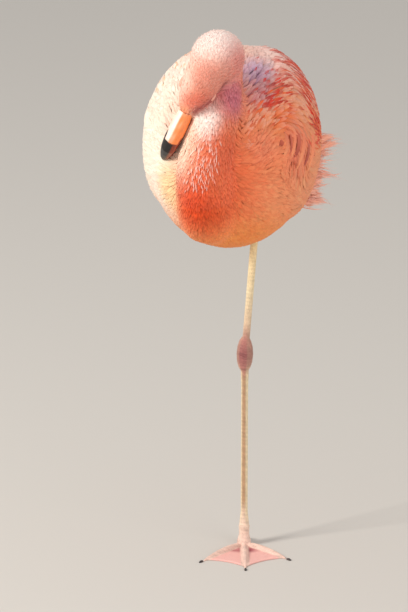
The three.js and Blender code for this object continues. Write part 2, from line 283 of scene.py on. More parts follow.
# %% The body's skin
BODY_VOXEL = 0.003
WING_EDGE_REACH = 0.007
COAT_DEPTH = {"head": 0.9, "neck_bend": 1.1, "neck_upper": 1.6, "neck_middle": 2.0,
              "neck_base": 2.6, "trunk": 3.2, "wing_left": 3.0, "wing_right": 3.0}

skin = welded_copy("skin", "trunk", "neck_base", "neck_middle", "neck_upper", "neck_bend", "head",
                   "wing_left", "wing_right")
apply_modifier(skin, "REMESH", mode="VOXEL", voxel_size=BODY_VOXEL)
apply_modifier(skin, "SMOOTH", factor=0.6, iterations=6)
points = get_points(skin.data)
region_distance = np.stack([distances(name, points) for name in REGIONS], 1)
trunk_at, left_at, right_at = (REGIONS.index(name) for name in ("trunk", "wing_left", "wing_right"))
wing_distance = region_distance[:, [left_at, right_at]].min(1)
at_edge = np.exp(
    -((region_distance[:, trunk_at] / WING_EDGE_REACH) ** 2) - (wing_distance / WING_EDGE_REACH) ** 2
)
edge_group = skin.vertex_groups.new(name="wing_edge")
for number in np.nonzero(at_edge > 0.05)[0].tolist():
    edge_group.add([number], min(1.0, 1.4 * float(at_edge[number])), "REPLACE")
apply_modifier(skin, "SMOOTH", factor=0.8, iterations=60, vertex_group="wing_edge")
points = get_points(skin.data)
print("skin points", len(points), "at the wings' edges", int((at_edge > 0.05).sum()))

# %% [markdown]
# ## Room for the coat
# The solids are the outside of the plumage, so the skin has to lie deeper by the coat's thickness. A
# shrink by one number would swallow the thin face, so each region has its own depth and they blend into
# each other. In a few tight corners the skin is pushed out again, so that no dark pit is left.

# %% Draw the skin in under the coat
REGION_BLEND = 0.004
THINNEST_COAT = 0.0008
BILL_ROOT = HEAD_CENTRE + HEAD_FORWARD * 0.036
BILL_ROOT_REACH, BILL_ROOT_PROUD = 0.014, 0.0004
# Tight corners along the wings' front edges: a place and a reach, in millimetres.
EDGE_SPOTS = (((77, -136, 537), 17), ((-82, -118, 572), 15), ((-59, -148, 578), 18),
              ((-62, -124, 600), 14), ((82, -114, 513), 9))
EDGE_SPOT_PUSH = 0.0028
NORMAL_PASSES = 14


def region_shares(distance):
    """How much each region counts at a point, from its distances to the solids."""
    shares = np.exp(-distance / REGION_BLEND)
    return shares / shares.sum(1, keepdims=True)


def near_edge_spots(points):
    """How close each point is to the tight corners, 1 in the middle of one."""
    away = [np.linalg.norm(points / MM - place, axis=1) / reach for place, reach in EDGE_SPOTS]
    return sum(np.exp(-(share ** 4)) for share in away)


depth_by_region = np.array([COAT_DEPTH[name] for name in REGIONS]) * MM
skin_depth = region_shares(region_distance) @ depth_by_region
at_bill = np.exp(-((np.linalg.norm(points - BILL_ROOT, axis=1) / BILL_ROOT_REACH) ** 4))
skin_depth = skin_depth * (1 - at_bill) - BILL_ROOT_PROUD * at_bill
filled_depth = skin_depth - EDGE_SPOT_PUSH * np.minimum(near_edge_spots(points), 1)
set_points(skin.data, points - get_normals(skin.data) * filled_depth[:, None])
skin_depth = np.maximum(skin_depth, THINNEST_COAT)
apply_modifier(skin, "SMOOTH", factor=0.5, iterations=4)
skin_points = get_points(skin.data)
skin_tree = BVHTree.FromPolygons(
    [Vector(p) for p in skin_points], [p.vertices[:] for p in skin.data.polygons]
)
skin_faces = np.array([p.vertices[:] for p in skin.data.polygons])
skin_normals = get_normals(skin.data)
for _ in range(NORMAL_PASSES):
    around = np.zeros_like(skin_normals)
    for corner in range(4):
        np.add.at(around, skin_faces[:, corner], skin_normals[skin_faces].sum(1))
    skin_normals = unit(around)
skin_shares = region_shares(region_distance)
print("skin faces", len(skin_faces), "depth", skin_depth.min().round(4), skin_depth.max().round(4))

# %% [markdown]
# ## The lie on head and neck
# Every feather points away from the bill. On the head the lie runs up to the back of the skull, over
# the bend it turns down, and on the neck it follows the neck. Combing a groom by hand would give the
# same, but a rule for each region is easy to change and fills every place.

# %% Direction on the neck and over the bend
def along_neck(points):
    """The neck's own direction towards the breast, at the nearest place of its line."""
    middles = (NECK_LINE[1:] + NECK_LINE[:-1]) / 2
    directions = unit(NECK_LINE[:-1] - NECK_LINE[1:])
    reach = np.linalg.norm(points[:, None] - middles[None], axis=2)
    weights = np.exp(-((reach / 0.03) ** 2)) + 1e-9
    return unit((weights[:, :, None] * directions[None]).sum(1))


def over_bend(points):
    """Up from the head, over the bend and down onto the neck."""
    turn = np.clip((points - BEND_CENTRE) @ BEND_ACROSS / 0.032, -1, 1) * math.pi / 2
    up = -HEAD_FORWARD
    rising = np.cos(turn / 2 + math.pi / 4)[:, None] * up[None]
    return unit(rising + np.sin(turn / 2 + math.pi / 4)[:, None] * BEND_ACROSS[None]
                + np.clip(turn, 0, 2)[:, None] * np.array((0, 0, -0.9)))


print("lie on top of the bend", over_bend(BEND_CENTRE[None]).round(2))

# %% [markdown]
# ## The lie on the body
# On the body the feathers fan out from the neck's base towards the tail, and round the left wing's wrist
# they curl in a slow swirl. A few guides pull the lie their own way near one place, as a comb would. The
# rules of all regions are then mixed by how near each region is, and laid flat into the skin.

# %% Direction on the body
# Each guide has a place in millimetres, a direction, a reach in millimetres and a pull.
LIE_GUIDES = (
    ((46, 0, 618), (0.80, 0.15, -0.45), 26, 1.2),
    ((66, 0, 602), (0.65, 0.05, -0.75), 26, 1.3),
    ((86, -20, 565), (0.35, -0.10, -0.95), 26, 1.3),
    ((62, -36, 614), (0.70, -0.30, -0.65), 18, 1.6),
    ((82, -47, 584), (0.35, -0.10, -0.93), 18, 1.8),
    ((84, -106, 553), (0.20, 0.00, -1.00), 15, 2.5),
    ((84, -120, 532), (-0.15, -0.60, -0.75), 15, 2.5),
    ((93, -76, 540), (0.20, 0.05, -1.00), 17, 2.5),
    ((91, -95, 512), (-0.10, -0.55, -0.80), 18, 2.5),
)


def from_breast(points):
    """Away from the neck's base, towards the tail, with a swirl about the left wrist."""
    fan = unit(points - BREAST_START) * 0.8 + np.array((0, 0.75, -0.12))
    arm = points - WRIST_SWIRL
    reach = np.linalg.norm(arm, axis=1)
    curl = np.cross(arm, np.array((0.78, -0.62, 0.12)))
    strength = smooth_step(0.010, 0.035, reach) * (1 - smooth_step(0.045, 0.080, reach))
    flow = unit(fan) + unit(curl) * (strength * 0.6)[:, None]
    for place, way, size, pull in LIE_GUIDES:
        near = pull * np.exp(-((points / MM - place) ** 2).sum(1) / size ** 2)
        flow = flow + near[:, None] * np.array(way)
    return flow


def lie(points, normals, shares):
    """The lie of the plumage in the skin's surface."""
    flow = shares[:, 0:1] * -HEAD_FORWARD
    flow = flow + shares[:, 1:2] * over_bend(points)
    flow = flow + shares[:, 2:5].sum(1, keepdims=True) * along_neck(points)
    flow = flow + shares[:, 5:8].sum(1, keepdims=True) * unit(from_breast(points))
    flow = flow - normals * (flow * normals).sum(1, keepdims=True)
    return unit(flow)


print("guides for the lie", len(LIE_GUIDES))

# %% [markdown]
# ## Finding the skin
# A feather is walked over the skin step by step, and each step may leave the surface a little. So there
# is one helper that brings points back: it finds the nearest face and mixes what its corners know.

# %% Nearest place on the skin
def on_skin(points):
    """Nearest places on the skin, with normals, region shares and coat depth there."""
    found = [skin_tree.find_nearest(Vector(p)) for p in points]
    places = np.array([f[0] for f in found])
    corners = skin_faces[[f[2] for f in found]]
    near = np.linalg.norm(skin_points[corners] - places[:, None], axis=2)
    weight = 1 / (near + 0.0005)
    weight /= weight.sum(1, keepdims=True)
    normals = unit((skin_normals[corners] * weight[:, :, None]).sum(1))
    shares = (skin_shares[corners] * weight[:, :, None]).sum(1)
    return places, normals, shares, (skin_depth[corners] * weight).sum(1)


BREAST_FRONT = np.array([[0, -0.2, 0.5]])
print("lie at the breast", lie(*on_skin(BREAST_FRONT)[:3]).round(2))

# %% [markdown]
# ## The bare legs
# From above the ankle down the leg has no feathers, only horny skin: ring-like scutes down the front of
# the shank and over each toe, small net-like scales elsewhere, a wrinkled sleeve round the ankle joint,
# and thin webs between the toes. The large rings are real grooves in the mesh, and the fine net is left
# to the material's bump.

# %% The legs' skin
LEG_VOXEL = 0.0009
LEG_SOLIDS = ("shank_left", "ankle_left", "tarsus_left", "foot_left", "hind_toe_left",
              "shank_right", "ankle_right", "tarsus_right")
ANKLE = np.array((0, 0, 248)) * MM
FOLDED_ANKLE = np.array((-39, 116, 417)) * MM
FOLDED_WAY = unit(np.array((0.3, -1.0, 0.25)))
TOE_TIPS = np.array([(-35, -65, 0), (21, -75, 0), (62, -32, 0)]) * MM
TOE_WAYS = unit(TOE_TIPS)[:, :2]

legs = welded_copy("skin_legs", *LEG_SOLIDS)
apply_modifier(legs, "REMESH", mode="VOXEL", voxel_size=LEG_VOXEL)
apply_modifier(legs, "SMOOTH", factor=0.5, iterations=5)
print("leg points", len(legs.data.vertices))

# %% [markdown]
# ## Waves, valleys and noise
# Scales and wrinkles repeat, but never evenly. Two small formulas draw them: a soft noise made of a few
# crossed waves, and a narrow valley that comes back once in every whole number.

# %% Helpers for relief
def mottle(points, size, seed):
    """A soft even noise over space from -1 to 1, with patches of about this size."""
    total = np.zeros(len(points))
    directions = np.random.default_rng(seed)
    for _ in range(7):
        wave = directions.normal(size=3) * (3.2 / size)
        total += np.sin(points @ wave + directions.uniform(0, 6.28))
    return total / 3.5


def groove(phase, sharpness):
    """A narrow valley once in every whole number of the phase, from 0 to 1 deep."""
    return np.abs(np.cos(math.pi * phase)) ** sharpness


def beside_toes(points):
    """How far aside of each front toe's line the points lie, seen from above."""
    return np.abs(points[:, :1] * TOE_WAYS[:, 1] - points[:, 1:2] * TOE_WAYS[:, 0])


print("valley at 0, a quarter and a half", groove(np.array((0, 0.25, 0.5)), 8).round(3))

# %% [markdown]
# ## Relief on the bare legs
# Flamingo shanks carry a ladder of scutes, the ankle is wrinkled like an old glove, and each toe has
# small plates across its top. These are large enough to catch light at the outline, so they are moved
# into the mesh itself: each point goes in or out along its normal by a small wave.

# %% Rings, wrinkles and toe scutes
RING_PITCH, TOE_RING_PITCH, HUB_RING_PITCH = 0.0046, 0.0038, 0.0034
ANKLE_PITCH, FOLD_PITCH = 0.0031, 0.0033
RING_DEPTH, WRINKLE_DEPTH, TOE_RING_DEPTH, HUB_RING_DEPTH = 0.00028, 0.0009, 0.0004, 0.00035

leg_points = get_points(legs.data)
leg_normals = get_normals(legs.data)
height = leg_points[:, 2]
front = smooth_step(0.1, 0.7, -leg_normals[:, 1])
stretch = 1 + 0.25 * np.sin(height * 61) + 0.15 * np.sin(height * 173)
rings = groove((height + 0.0006 * stretch) / RING_PITCH, 8) * front
rings *= smooth_step(0.030, 0.045, height) * (1 - smooth_step(0.395, 0.405, height))
near_ankle = np.exp(-(((leg_points - ANKLE) ** 2).sum(1)) / 0.020 ** 2)
turn = np.arctan2(leg_points[:, 0], -leg_points[:, 1])
folds = groove((height + 0.0016 * np.sin(turn * 2 + 0.5)) / ANKLE_PITCH, 3)
from_fold = (leg_points - FOLDED_ANKLE) @ FOLDED_WAY
knob = smooth_step(-0.6, 0.8, mottle(leg_points, 0.011, 9)) * 0.0010
near_fold = np.exp(-(((leg_points - FOLDED_ANKLE) ** 2).sum(1)) / 0.015 ** 2)
folds = np.where(near_fold > 0.05, groove(from_fold / FOLD_PITCH, 3), folds)
toe_reach = leg_points[:, :2] @ TOE_WAYS.T
toe_side = beside_toes(leg_points)
own_toe = (np.arange(len(leg_points)), toe_side.argmin(1))
on_top = smooth_step(0.2, 0.6, leg_normals[:, 2])
toe_rings = groove(toe_reach[own_toe] / TOE_RING_PITCH, 6)
toe_rings *= (1 - smooth_step(0.004, 0.006, toe_side[own_toe])) * on_top
toe_rings *= 1 - smooth_step(0.016, 0.024, height)
hub_rings = groove(height / HUB_RING_PITCH, 5)
hub_rings *= smooth_step(0.008, 0.014, height)
hub_rings *= 1 - smooth_step(0.030, 0.038, height)
depth = RING_DEPTH * rings + WRINKLE_DEPTH * (near_ankle + near_fold) * folds + near_fold * knob
depth += TOE_RING_DEPTH * toe_rings + HUB_RING_DEPTH * hub_rings
leg_points -= leg_normals * depth[:, None]
leg_points[:, 2] = np.maximum(leg_points[:, 2], 0)
set_points(legs.data, leg_points)
print("deepest groove mm", (depth.max() / MM).round(2))

# %% [markdown]
# ## The colours of the plumage
# A flamingo is not one pink. The skull and the bend of the neck are nearly white, the face is salmon,
# the neck deepens to orange red where it meets the breast, the belly is soft salmon, and the shoulders
# are pale with red and orange tips. The coat starts from one salmon, and soft round markings are laid
# over it, each with its own centre, size, colour and strength. Some markings are painted light and
# shade, not plumage colour: the pale spots on the bird's right side, which faces the key lamp, are
# painted light, and the lilac, mauve and salmon spots on the shaded left shoulder, neck, bend and skull
# are painted shade.

# %% Markings
def linear(red, green, blue):
    """A display colour from 0 to 255 as linear light."""
    value = np.array((red, green, blue)) / 255
    return np.where(value <= 0.04045, value / 12.92, ((value + 0.055) / 1.055) ** 2.4)


SALMON = linear(250, 150, 92)
# Each marking has a name, a centre and a size in millimetres, a display colour and a strength.
MARKINGS = (
    ("back", (0, 60, 600), (90, 150, 60), (250, 206, 190), 0.9),
    ("rump", (0, 170, 500), (80, 90, 90), (246, 184, 162), 0.8),
    # painted light: the right flank and breast face the key lamp and are painted near white
    ("right_flank_painted_light", (-95, -80, 540), (55, 150, 105), (253, 234, 216), 1.0),
    ("right_breast_painted_light", (-66, -168, 515), (40, 60, 84), (254, 238, 222), 0.95),
    ("right_shoulder", (-50, -90, 610), (55, 80, 45), (255, 238, 222), 0.95),
    ("belly", (20, -60, 420), (100, 150, 55), (253, 146, 56), 0.9),
    ("left_breast", (45, -165, 520), (45, 45, 60), (250, 126, 80), 0.8),
    ("left_flank", (88, -70, 490), (45, 110, 58), (250, 158, 114), 0.8),
    ("left_back", (40, 0, 620), (44, 70, 30), (255, 210, 200), 0.9),
    ("left_edge", (70, 0, 600), (34, 60, 34), (238, 150, 130), 0.6),
    # painted shade: lilac and dull pink where the pale left shoulder lies in shade behind the head
    ("left_cap_painted_shade", (34, -80, 622), (26, 36, 18), (198, 156, 186), 1.0),
    ("cap_low_painted_shade", (47, -106, 604), (24, 30, 18), (204, 118, 126), 0.9),
    ("wrist_disc", (79, -98, 574), (22, 26, 20), (252, 118, 56), 0.85),
    ("under_disc", (62, -146, 556), (24, 26, 24), (252, 146, 112), 0.7),
    ("under_arcs", (90, -100, 530), (22, 40, 34), (240, 124, 94), 0.8),
    ("neck_base", (0, -205, 500), (46, 56, 52), (220, 68, 12), 1.0),
    ("neck_low_left", (28, -196, 526), (24, 34, 40), (248, 118, 70), 0.8),
    ("neck_middle", (16, -205, 556), (34, 40, 38), (230, 104, 66), 0.9),
    # painted shade: mauve on the neck's shaded side under the head
    ("neck_upper", (18, -170, 605), (38, 36, 26), (220, 122, 124), 0.9),
    ("neck_painted_shade", (28, -164, 612), (15, 20, 22), (204, 108, 128), 0.85),
    # partly painted light: whitish tips on the neck's lit front, made paler than the plumage there
    ("neck_crest_partly_painted_light", (3, -203, 593), (19, 25, 23), (255, 236, 228), 1.0),
    # painted light: the right edges of the neck and the breast, on the lamp's side, are painted pale
    ("neck_right_edge_painted_light", (-27, -204, 564), (24, 44, 42), (255, 230, 208), 0.9),
    ("breast_right_edge_painted_light", (-47, -186, 499), (21, 40, 34), (255, 212, 156), 0.85),
    ("bend", (8, -162, 670), (46, 46, 34), (254, 232, 226), 1.0),
    # painted shade: salmon mauve on the bend's shaded side; the skull's salmon is partly painted shade
    ("bend_left_painted_shade", (36, -166, 648), (20, 34, 28), (222, 122, 112), 0.9),
    ("skull", (10, -196, 638), (32, 30, 24), (228, 142, 122), 0.9),
    # painted light: the right cheek, on the lamp's side, is painted near white
    ("cheek_right_painted_light", (-22, -190, 632), (16, 24, 26), (254, 222, 206), 0.9),
    ("face", (-4, -200, 612), (20, 22, 15), (230, 106, 76), 0.9),
    ("bill_root", (-19, -203, 600), (9, 12, 8), (255, 166, 116), 0.8),
)
# painted shadow: a deep red line along the crease between head and neck, under the jaw
CREASE_SHADOW_LINE = np.array([(22, -175, 629), (18, -176, 620), (8, -190, 611), (-4, -199, 603), (-7, -200, 601)])
CREASE_SHADOW_RED, CREASE_SHADOW_WIDTH = linear(150, 44, 44), 5.5
print("markings", len(MARKINGS))

# %% [markdown]
# ## From markings to a colour
# Each marking is a soft round spot. Its share at a point falls off with the distance from its centre,
# and the colours are mixed one over another in the order of the list. The painted shadow in the crease
# under the jaw is a line instead, so it goes by the distance to that line.

# %% The plumage's colour at a point
def distance_to_line(points, line):
    """How far each point is from a line of straight stretches."""
    nearest = np.full(len(points), 1e9)
    for start, end in zip(line[:-1], line[1:]):
        arm = end - start
        share = np.clip((points - start) @ arm / (arm @ arm), 0, 1)[:, None]
        nearest = np.minimum(nearest, np.linalg.norm(points - start - share * arm, axis=1))
    return nearest


def spot(places, centre, size, edge=1.5):
    """1 at the centre of a soft round spot and 0 outside it. All lengths are in millimetres."""
    reach = (((places - centre) / size) ** 2).sum(1)
    return np.exp(-(reach ** edge))


def plumage_colour(points):
    """The plumage's linear colour at these points, with the painted shadow along the jaw's crease."""
    colour = np.repeat(SALMON[None], len(points), 0)
    for _, centre, size, shade, strength in MARKINGS:
        share = (strength * spot(points / MM, centre, size))[:, None]
        colour = mixed(colour, linear(*shade), share)
    # painted shadow along the crease under the jaw
    crease_shadow = 0.8 * np.exp(-((distance_to_line(points / MM, CREASE_SHADOW_LINE) / CREASE_SHADOW_WIDTH) ** 2))[:, None]
    return mixed(colour, CREASE_SHADOW_RED, crease_shadow)


print("colour of the breast", plumage_colour(BREAST_FRONT).round(2))

# %% [markdown]
# ## The colours of the legs
# The shank above the ankle is cream, and the lower leg is greyer in front and paler at its left and right
# sides, where highlights are painted. The ankle is mauve, the toes pale and the webs pink with a dark patch
# near the middle of the foot. Height alone gives most of it, like bands round a post, and the folded leg
# borrows the bands from its distance to its own ankle.

# %% The legs' colour at a point
# The leg's display colours by height above the floor, in metres.
LEG_COLOURS = (
    (0.000, (240, 204, 190)), (0.014, (246, 214, 198)), (0.036, (240, 212, 190)), (0.060, (190, 150, 116)),
    (0.215, (184, 144, 112)), (0.232, (182, 120, 112)), (0.250, (152, 86, 86)), (0.268, (186, 124, 114)),
    (0.290, (226, 196, 166)), (0.330, (242, 222, 182)), (0.430, (242, 208, 146)),
)
WEB = linear(250, 192, 184)
WEB_DARK = linear(160, 40, 66)
# painted highlight: pale cream for the sides of the lower leg
SHANK_SIDE_HIGHLIGHT = linear(255, 238, 196)


def leg_colour(points, normals):
    """Cream yellow shanks with painted highlights on the lower leg's sides, a mauve ankle, and pink webs
    between pale toes.
    """
    stops = [stop for stop, _ in LEG_COLOURS]
    shades = np.array([linear(*shade) for _, shade in LEG_COLOURS])
    folded = points[:, 0] < -0.02
    level = np.where(folded & (points[:, 2] > 0.3), 0.33, points[:, 2])
    to_joint = np.linalg.norm(points - FOLDED_ANKLE, axis=1)
    level = np.where(folded & (to_joint < 0.05), 0.25 + np.clip(to_joint - 0.012, 0, 0.04) * 1.6, level)
    colour = np.stack([np.interp(level, stops, shades[:, i]) for i in range(3)], 1)
    # painted highlight: above the foot the leg's left and right sides are mixed towards pale cream
    bare = smooth_step(0.020, 0.050, points[:, 2]) * (1 - 0.8 * smooth_step(0.215, 0.240, points[:, 2]))
    edge = (bare * smooth_step(0.20, 0.85, np.abs(normals[:, 0])) * 0.75)[:, None]
    colour = mixed(colour, SHANK_SIDE_HIGHLIGHT, edge)
    spots = 0.5 + 0.5 * mottle(points, 0.005, 3)
    colour *= (0.86 + 0.22 * spots)[:, None]
    web = smooth_step(0.0042, 0.0065, beside_toes(points).min(1))
    web = web * (1 - smooth_step(0.009, 0.015, points[:, 2]))
    web = (web * (points[:, 1] < 0.002))[:, None]
    inner = 1 - smooth_step(0.024, 0.035, np.linalg.norm(points[:, :2], axis=1))
    patch = np.clip(inner * (0.80 + 0.30 * mottle(points, 0.012, 5)), 0, 0.9)[:, None]
    return mixed(colour, mixed(WEB, WEB_DARK, patch), web)


print("shank in the middle", leg_colour(np.array([[0, 0, 0.15]]), np.array([[0, -1, 0]])).round(2))

# %% [markdown]
# ## Colour at every point
# The markings are soft, so one colour per point of the mesh is fine enough and no image is needed. The
# same function colours skin and feathers, so where the coat is thin the skin below agrees with it.

# %% Paint the skin
SKIN_SHADE = 0.94


def set_tint(mesh, colours):
    """Stores one linear colour per vertex in the attribute that the materials read."""
    tint = mesh.color_attributes.new("Tint", "FLOAT_COLOR", "POINT")
    rgba = np.ones((len(colours), 4), np.float32)
    rgba[:, :3] = colours
    tint.data.foreach_set("color", rgba.ravel())


set_tint(skin.data, plumage_colour(skin_points) * SKIN_SHADE)
set_tint(legs.data, leg_colour(leg_points, leg_normals))
print("skin painted", len(skin.data.vertices), len(legs.data.vertices))

# %% [markdown]
# ## One feather, modelled once
# All the feathers of one kind share a form. It starts as a flat grid, is narrowed to a quill and a tip,
# gets a notched edge where the barbs part, and gets a little thickness so that it is a closed solid. Its
# shape is then kept as numbers: x across, y along and z through it. The coat bends a copy of it along
# the body for every feather, which is far quicker than thousands of separate objects.

# %% Feather forms
QUILL_WIDTH = 0.16


def feather_form(columns, rows, widest, tip_width, notch, ridge=0.0):
    """Models one flat feather and returns its points across, along and through, and its faces."""
    bpy.ops.object.select_all(action="DESELECT")
    bpy.ops.mesh.primitive_grid_add(x_subdivisions=columns, y_subdivisions=rows, size=2)
    form = bpy.context.object
    points = get_points(form.data)
    along = (points[:, 1] + 1) / 2
    root_side = QUILL_WIDTH + 0.84 * np.sqrt(np.clip(1 - (1 - along / widest) ** 2, 0, 1))
    beyond = (along - widest) / (1 - widest)
    tip_side = tip_width + (1 - tip_width) * np.sqrt(np.clip(1 - beyond ** 2, 0, 1))
    column = np.round((points[:, 0] + 1) / 2 * columns).astype(int)
    parted = notch * (column % 2 == 1) * along ** 5
    rounded = 0.16 * np.abs(points[:, 0]) ** 2 * along ** 4 * (1 - tip_width)
    points[:, 2] = ridge * np.exp(-((points[:, 0] / 0.12) ** 2))
    points[:, 0] *= np.where(along < widest, root_side, tip_side)
    points[:, 1] = along - parted - rounded
    set_points(form.data, points)
    apply_modifier(form, "SOLIDIFY", thickness=1.0, offset=-1)
    shape = get_points(form.data)
    faces = np.array([face.vertices[:] for face in form.data.polygons])
    bpy.data.objects.remove(form)
    return {"x": shape[:, 0], "y": shape[:, 1], "z": shape[:, 2], "faces": faces}


LOCK = feather_form(2, 3, 0.35, 0.12, 0.0)
STREAK = feather_form(2, 7, 0.35, 0.10, 0.0)
SPLIT_LOCK = feather_form(4, 3, 0.45, 0.30, 0.30)
COVERT = feather_form(4, 5, 0.60, 0.22, 0.10, ridge=0.6)
QUILL_VANE = feather_form(8, 12, 0.55, 0.16, 0.02, ridge=1.6)
print("faces of each form", [len(form["faces"]) for form in (LOCK, STREAK, SPLIT_LOCK, COVERT, QUILL_VANE)])

# %% [markdown]
# ## Laying the coat
# Roots are scattered evenly over the skin, like darts that may not land too near each other. From each
# root a spine walks over the skin along the lie, and rises from the skin to the outer face of the coat,
# so that each tip lies over the roots of the next feathers, as tiles do. The form is then bent along all
# the spines at once, and the coat is one joined mesh with a tint per point.

# %% Scatter roots
TRIES_PER_PLACE = 3.2
quads = skin_points[skin_faces]
quad_areas = np.linalg.norm(np.cross(quads[:, 2] - quads[:, 0], quads[:, 3] - quads[:, 1]), axis=1) / 2


def scatter(wanted, spacing, seed):
    """Evenly spread places on the faces where wanted is true, at least spacing apart."""
    dice = np.random.default_rng(seed)
    corners, area = quads[wanted], quad_areas[wanted]
    tries = int(area.sum() / spacing ** 2 * TRIES_PER_PLACE)
    faces = dice.choice(len(corners), tries, p=area / area.sum())
    u, v = dice.random((2, tries, 1))
    quad = corners[faces]
    places = mixed(mixed(quad[:, 0], quad[:, 1], u), mixed(quad[:, 3], quad[:, 2], u), v)
    cells = np.floor(places / spacing).astype(int)
    taken, kept = {}, []
    near = [(i, j, k) for i in (-1, 0, 1) for j in (-1, 0, 1) for k in (-1, 0, 1)]
    for place, (a, b, c) in zip(places, cells.tolist()):
        beside = [q for i, j, k in near for q in taken.get((a + i, b + j, c + k), ())]
        if all(((place - q) ** 2).sum() >= spacing ** 2 for q in beside):
            taken.setdefault((a, b, c), []).append(place)
            kept.append(place)
    return np.array(kept)


print("skin area in square metres", quad_areas.sum().round(3))

# %% [markdown]
# ## Walking the spines
# From its root each feather takes a few steps over the skin along the lie. It turns only slowly and
# never doubles back, because a feather that does would show its inner side as a dark speck.

# %% Run the spines
SPINE_STEPS, SMOOTHING_PASSES = 6, 3


def run_spines(roots, lengths, sway, rise_power, seed):
    """Walks every feather over the skin. Returns its spine, and which way is up and aside there."""
    dice = np.random.default_rng(seed)
    place = roots
    turn = dice.normal(0, sway, len(roots))
    proud = 1 + dice.normal(0, 0.03, len(roots))
    direction, spines, raised, ups = None, [], [], []
    for step in range(SPINE_STEPS + 1):
        place, normal, shares, depth = on_skin(place)
        wanted = lie(place, normal, shares)
        aside = np.cross(normal, wanted)
        wanted = wanted * np.cos(turn)[:, None] + aside * np.sin(turn)[:, None]
        if direction is None:
            direction = wanted
        follow = 0.5 * np.clip((direction * wanted).sum(1, keepdims=True), 0, 1)
        direction = mixed(direction, wanted, follow)
        direction = unit(direction - normal * (direction * normal).sum(1, keepdims=True))
        rise = 0.10 + 0.95 * (1 - (1 - step / SPINE_STEPS) ** rise_power)
        spines.append(place)
        raised.append(normal * (depth * rise * proud)[:, None])
        ups.append(normal)
        place = place + direction * (lengths / SPINE_STEPS)[:, None]
    spines, raised, ups = np.stack(spines, 1), np.stack(raised, 1), np.stack(ups, 1)
    for _ in range(SMOOTHING_PASSES):
        raised[:, 1:-1] = (raised[:, :-2] + raised[:, 1:-1] * 2 + raised[:, 2:]) / 4
        ups[:, 1:-1] = (ups[:, :-2] + ups[:, 1:-1] * 2 + ups[:, 2:]) / 4
        spines[:, 1:-1] = (spines[:, :-2] + spines[:, 1:-1] * 6 + spines[:, 2:]) / 8
    spines = spines + raised
    along = unit(np.gradient(spines, axis=1))
    ups = unit(ups - along * (ups * along).sum(2, keepdims=True))
    return spines, ups, np.cross(along, ups)


print("a feather's spine has", SPINE_STEPS + 1, "places")

# %% [markdown]
# ## A flat map of the bird
# Colours can only be baked onto a piece that has a flat map. Unwrapping every feather would be slow and
# would scatter them, so the body is thought of as a barrel: the angle round it and the share along it
# are a place on the map, and each feather will lie where its root does.

# %% Flat map
def skin_unwrap(points):
    """Places on a flat map: the share along the bird's long axis, and the angle round it."""
    arm = points - np.array((0, 0, 0.53))
    angle = np.arctan2(arm[:, 0], arm[:, 2]) / (2 * math.pi) + 0.5
    along = (points[:, 1] + 0.26) / 0.52
    return np.stack([0.01 + 0.98 * angle, 0.01 + 0.98 * np.clip(along, 0, 1)], 1)


print("the breast on the flat map", skin_unwrap(BREAST_FRONT).round(3))

# %% [markdown]
# ## Bending one form into a coat
# Thousands of separate objects would be slow and hard to export. So the form's points are placed along
# all spines in one array sum, and a whole patch becomes one mesh. Each feather keeps the form's own flat
# map, for its barbs, and gets a small patch on a shared flat map of the skin, where baked colours can go.

# %% Bend the form along the spines
BAKE_PATCH = 0.003
SMOOTH_ANGLE = math.radians(40)


def lay_feathers(name, form, spines, ups, sides, half_width, look, tints, tips):
    """One joined mesh with a bent copy of the form for each spine, tinted from root to tip.

    The look is the feather's thickness, its camber, where its tip's colour starts along it, and how
    much that colour keeps to the middle."""
    thickness, camber, tip_start, streak = look
    count, rows = spines.shape[:2]
    position = np.clip(form["y"], 0, 1) * (rows - 1)
    low = np.minimum(position.astype(int), rows - 2)
    share = (position - low)[None, :, None]
    place, up, side = (mixed(a[:, low], a[:, low + 1], share) for a in (spines, ups, sides))
    across = form["x"][None, :] * half_width[:, None]
    lift = form["z"][None, :] * thickness - camber * form["x"][None, :] ** 2 * half_width[:, None]
    points = place + side * across[:, :, None] + up * lift[:, :, None]
    size = len(form["x"])
    faces = (form["faces"][None] + (np.arange(count) * size)[:, None, None]).reshape(-1, 4)
    mesh = bpy.data.meshes.new(name)
    mesh.vertices.add(count * size)
    mesh.vertices.foreach_set("co", points.astype(np.float32).ravel())
    mesh.loops.add(faces.size)
    mesh.loops.foreach_set("vertex_index", faces.astype(np.int32).ravel())
    mesh.polygons.add(len(faces))
    mesh.polygons.foreach_set("loop_start", np.arange(0, faces.size, 4, dtype=np.int32))
    mesh.update(calc_edges=True)
    shade = smooth_step(tip_start, 1.0, form["y"]) * (1 - streak * form["x"] ** 2)
    set_tint(mesh, mixed(tints[:, None], tips[:, None], shade[None, :, None]).reshape(-1, 3))
    corner = form["faces"].ravel()
    flat = np.stack([form["x"] / 2 + 0.5, form["y"]], 1)[corner]
    vane = mesh.uv_layers.new(name="Vane")
    vane.data.foreach_set("uv", np.tile(flat, (count, 1)).astype(np.float32).ravel())
    bake = mesh.uv_layers.new(name="OFBake")
    patches = skin_unwrap(spines[:, 0])[:, None] + (flat[None] - 0.5) * BAKE_PATCH
    bake.data.foreach_set("uv", patches.astype(np.float32).ravel())
    piece = bpy.data.objects.new(name, mesh)
    bpy.context.scene.collection.objects.link(piece)
    pick_only(piece)
    bpy.ops.object.shade_smooth_by_angle(angle=SMOOTH_ANGLE)
    print(name, "feathers", count, "triangles", len(faces) * 2)
    return piece


print("each feather's patch is", BAKE_PATCH, "of the map wide")

# %% [markdown]
# ## Building shader nodes in code
# Nodes can be placed by hand in the shader editor, and the code does the same: it adds a node, sets its
# values and links it. A pattern that several finishes share is a node group, which takes one number and
# gives a shade and a height.

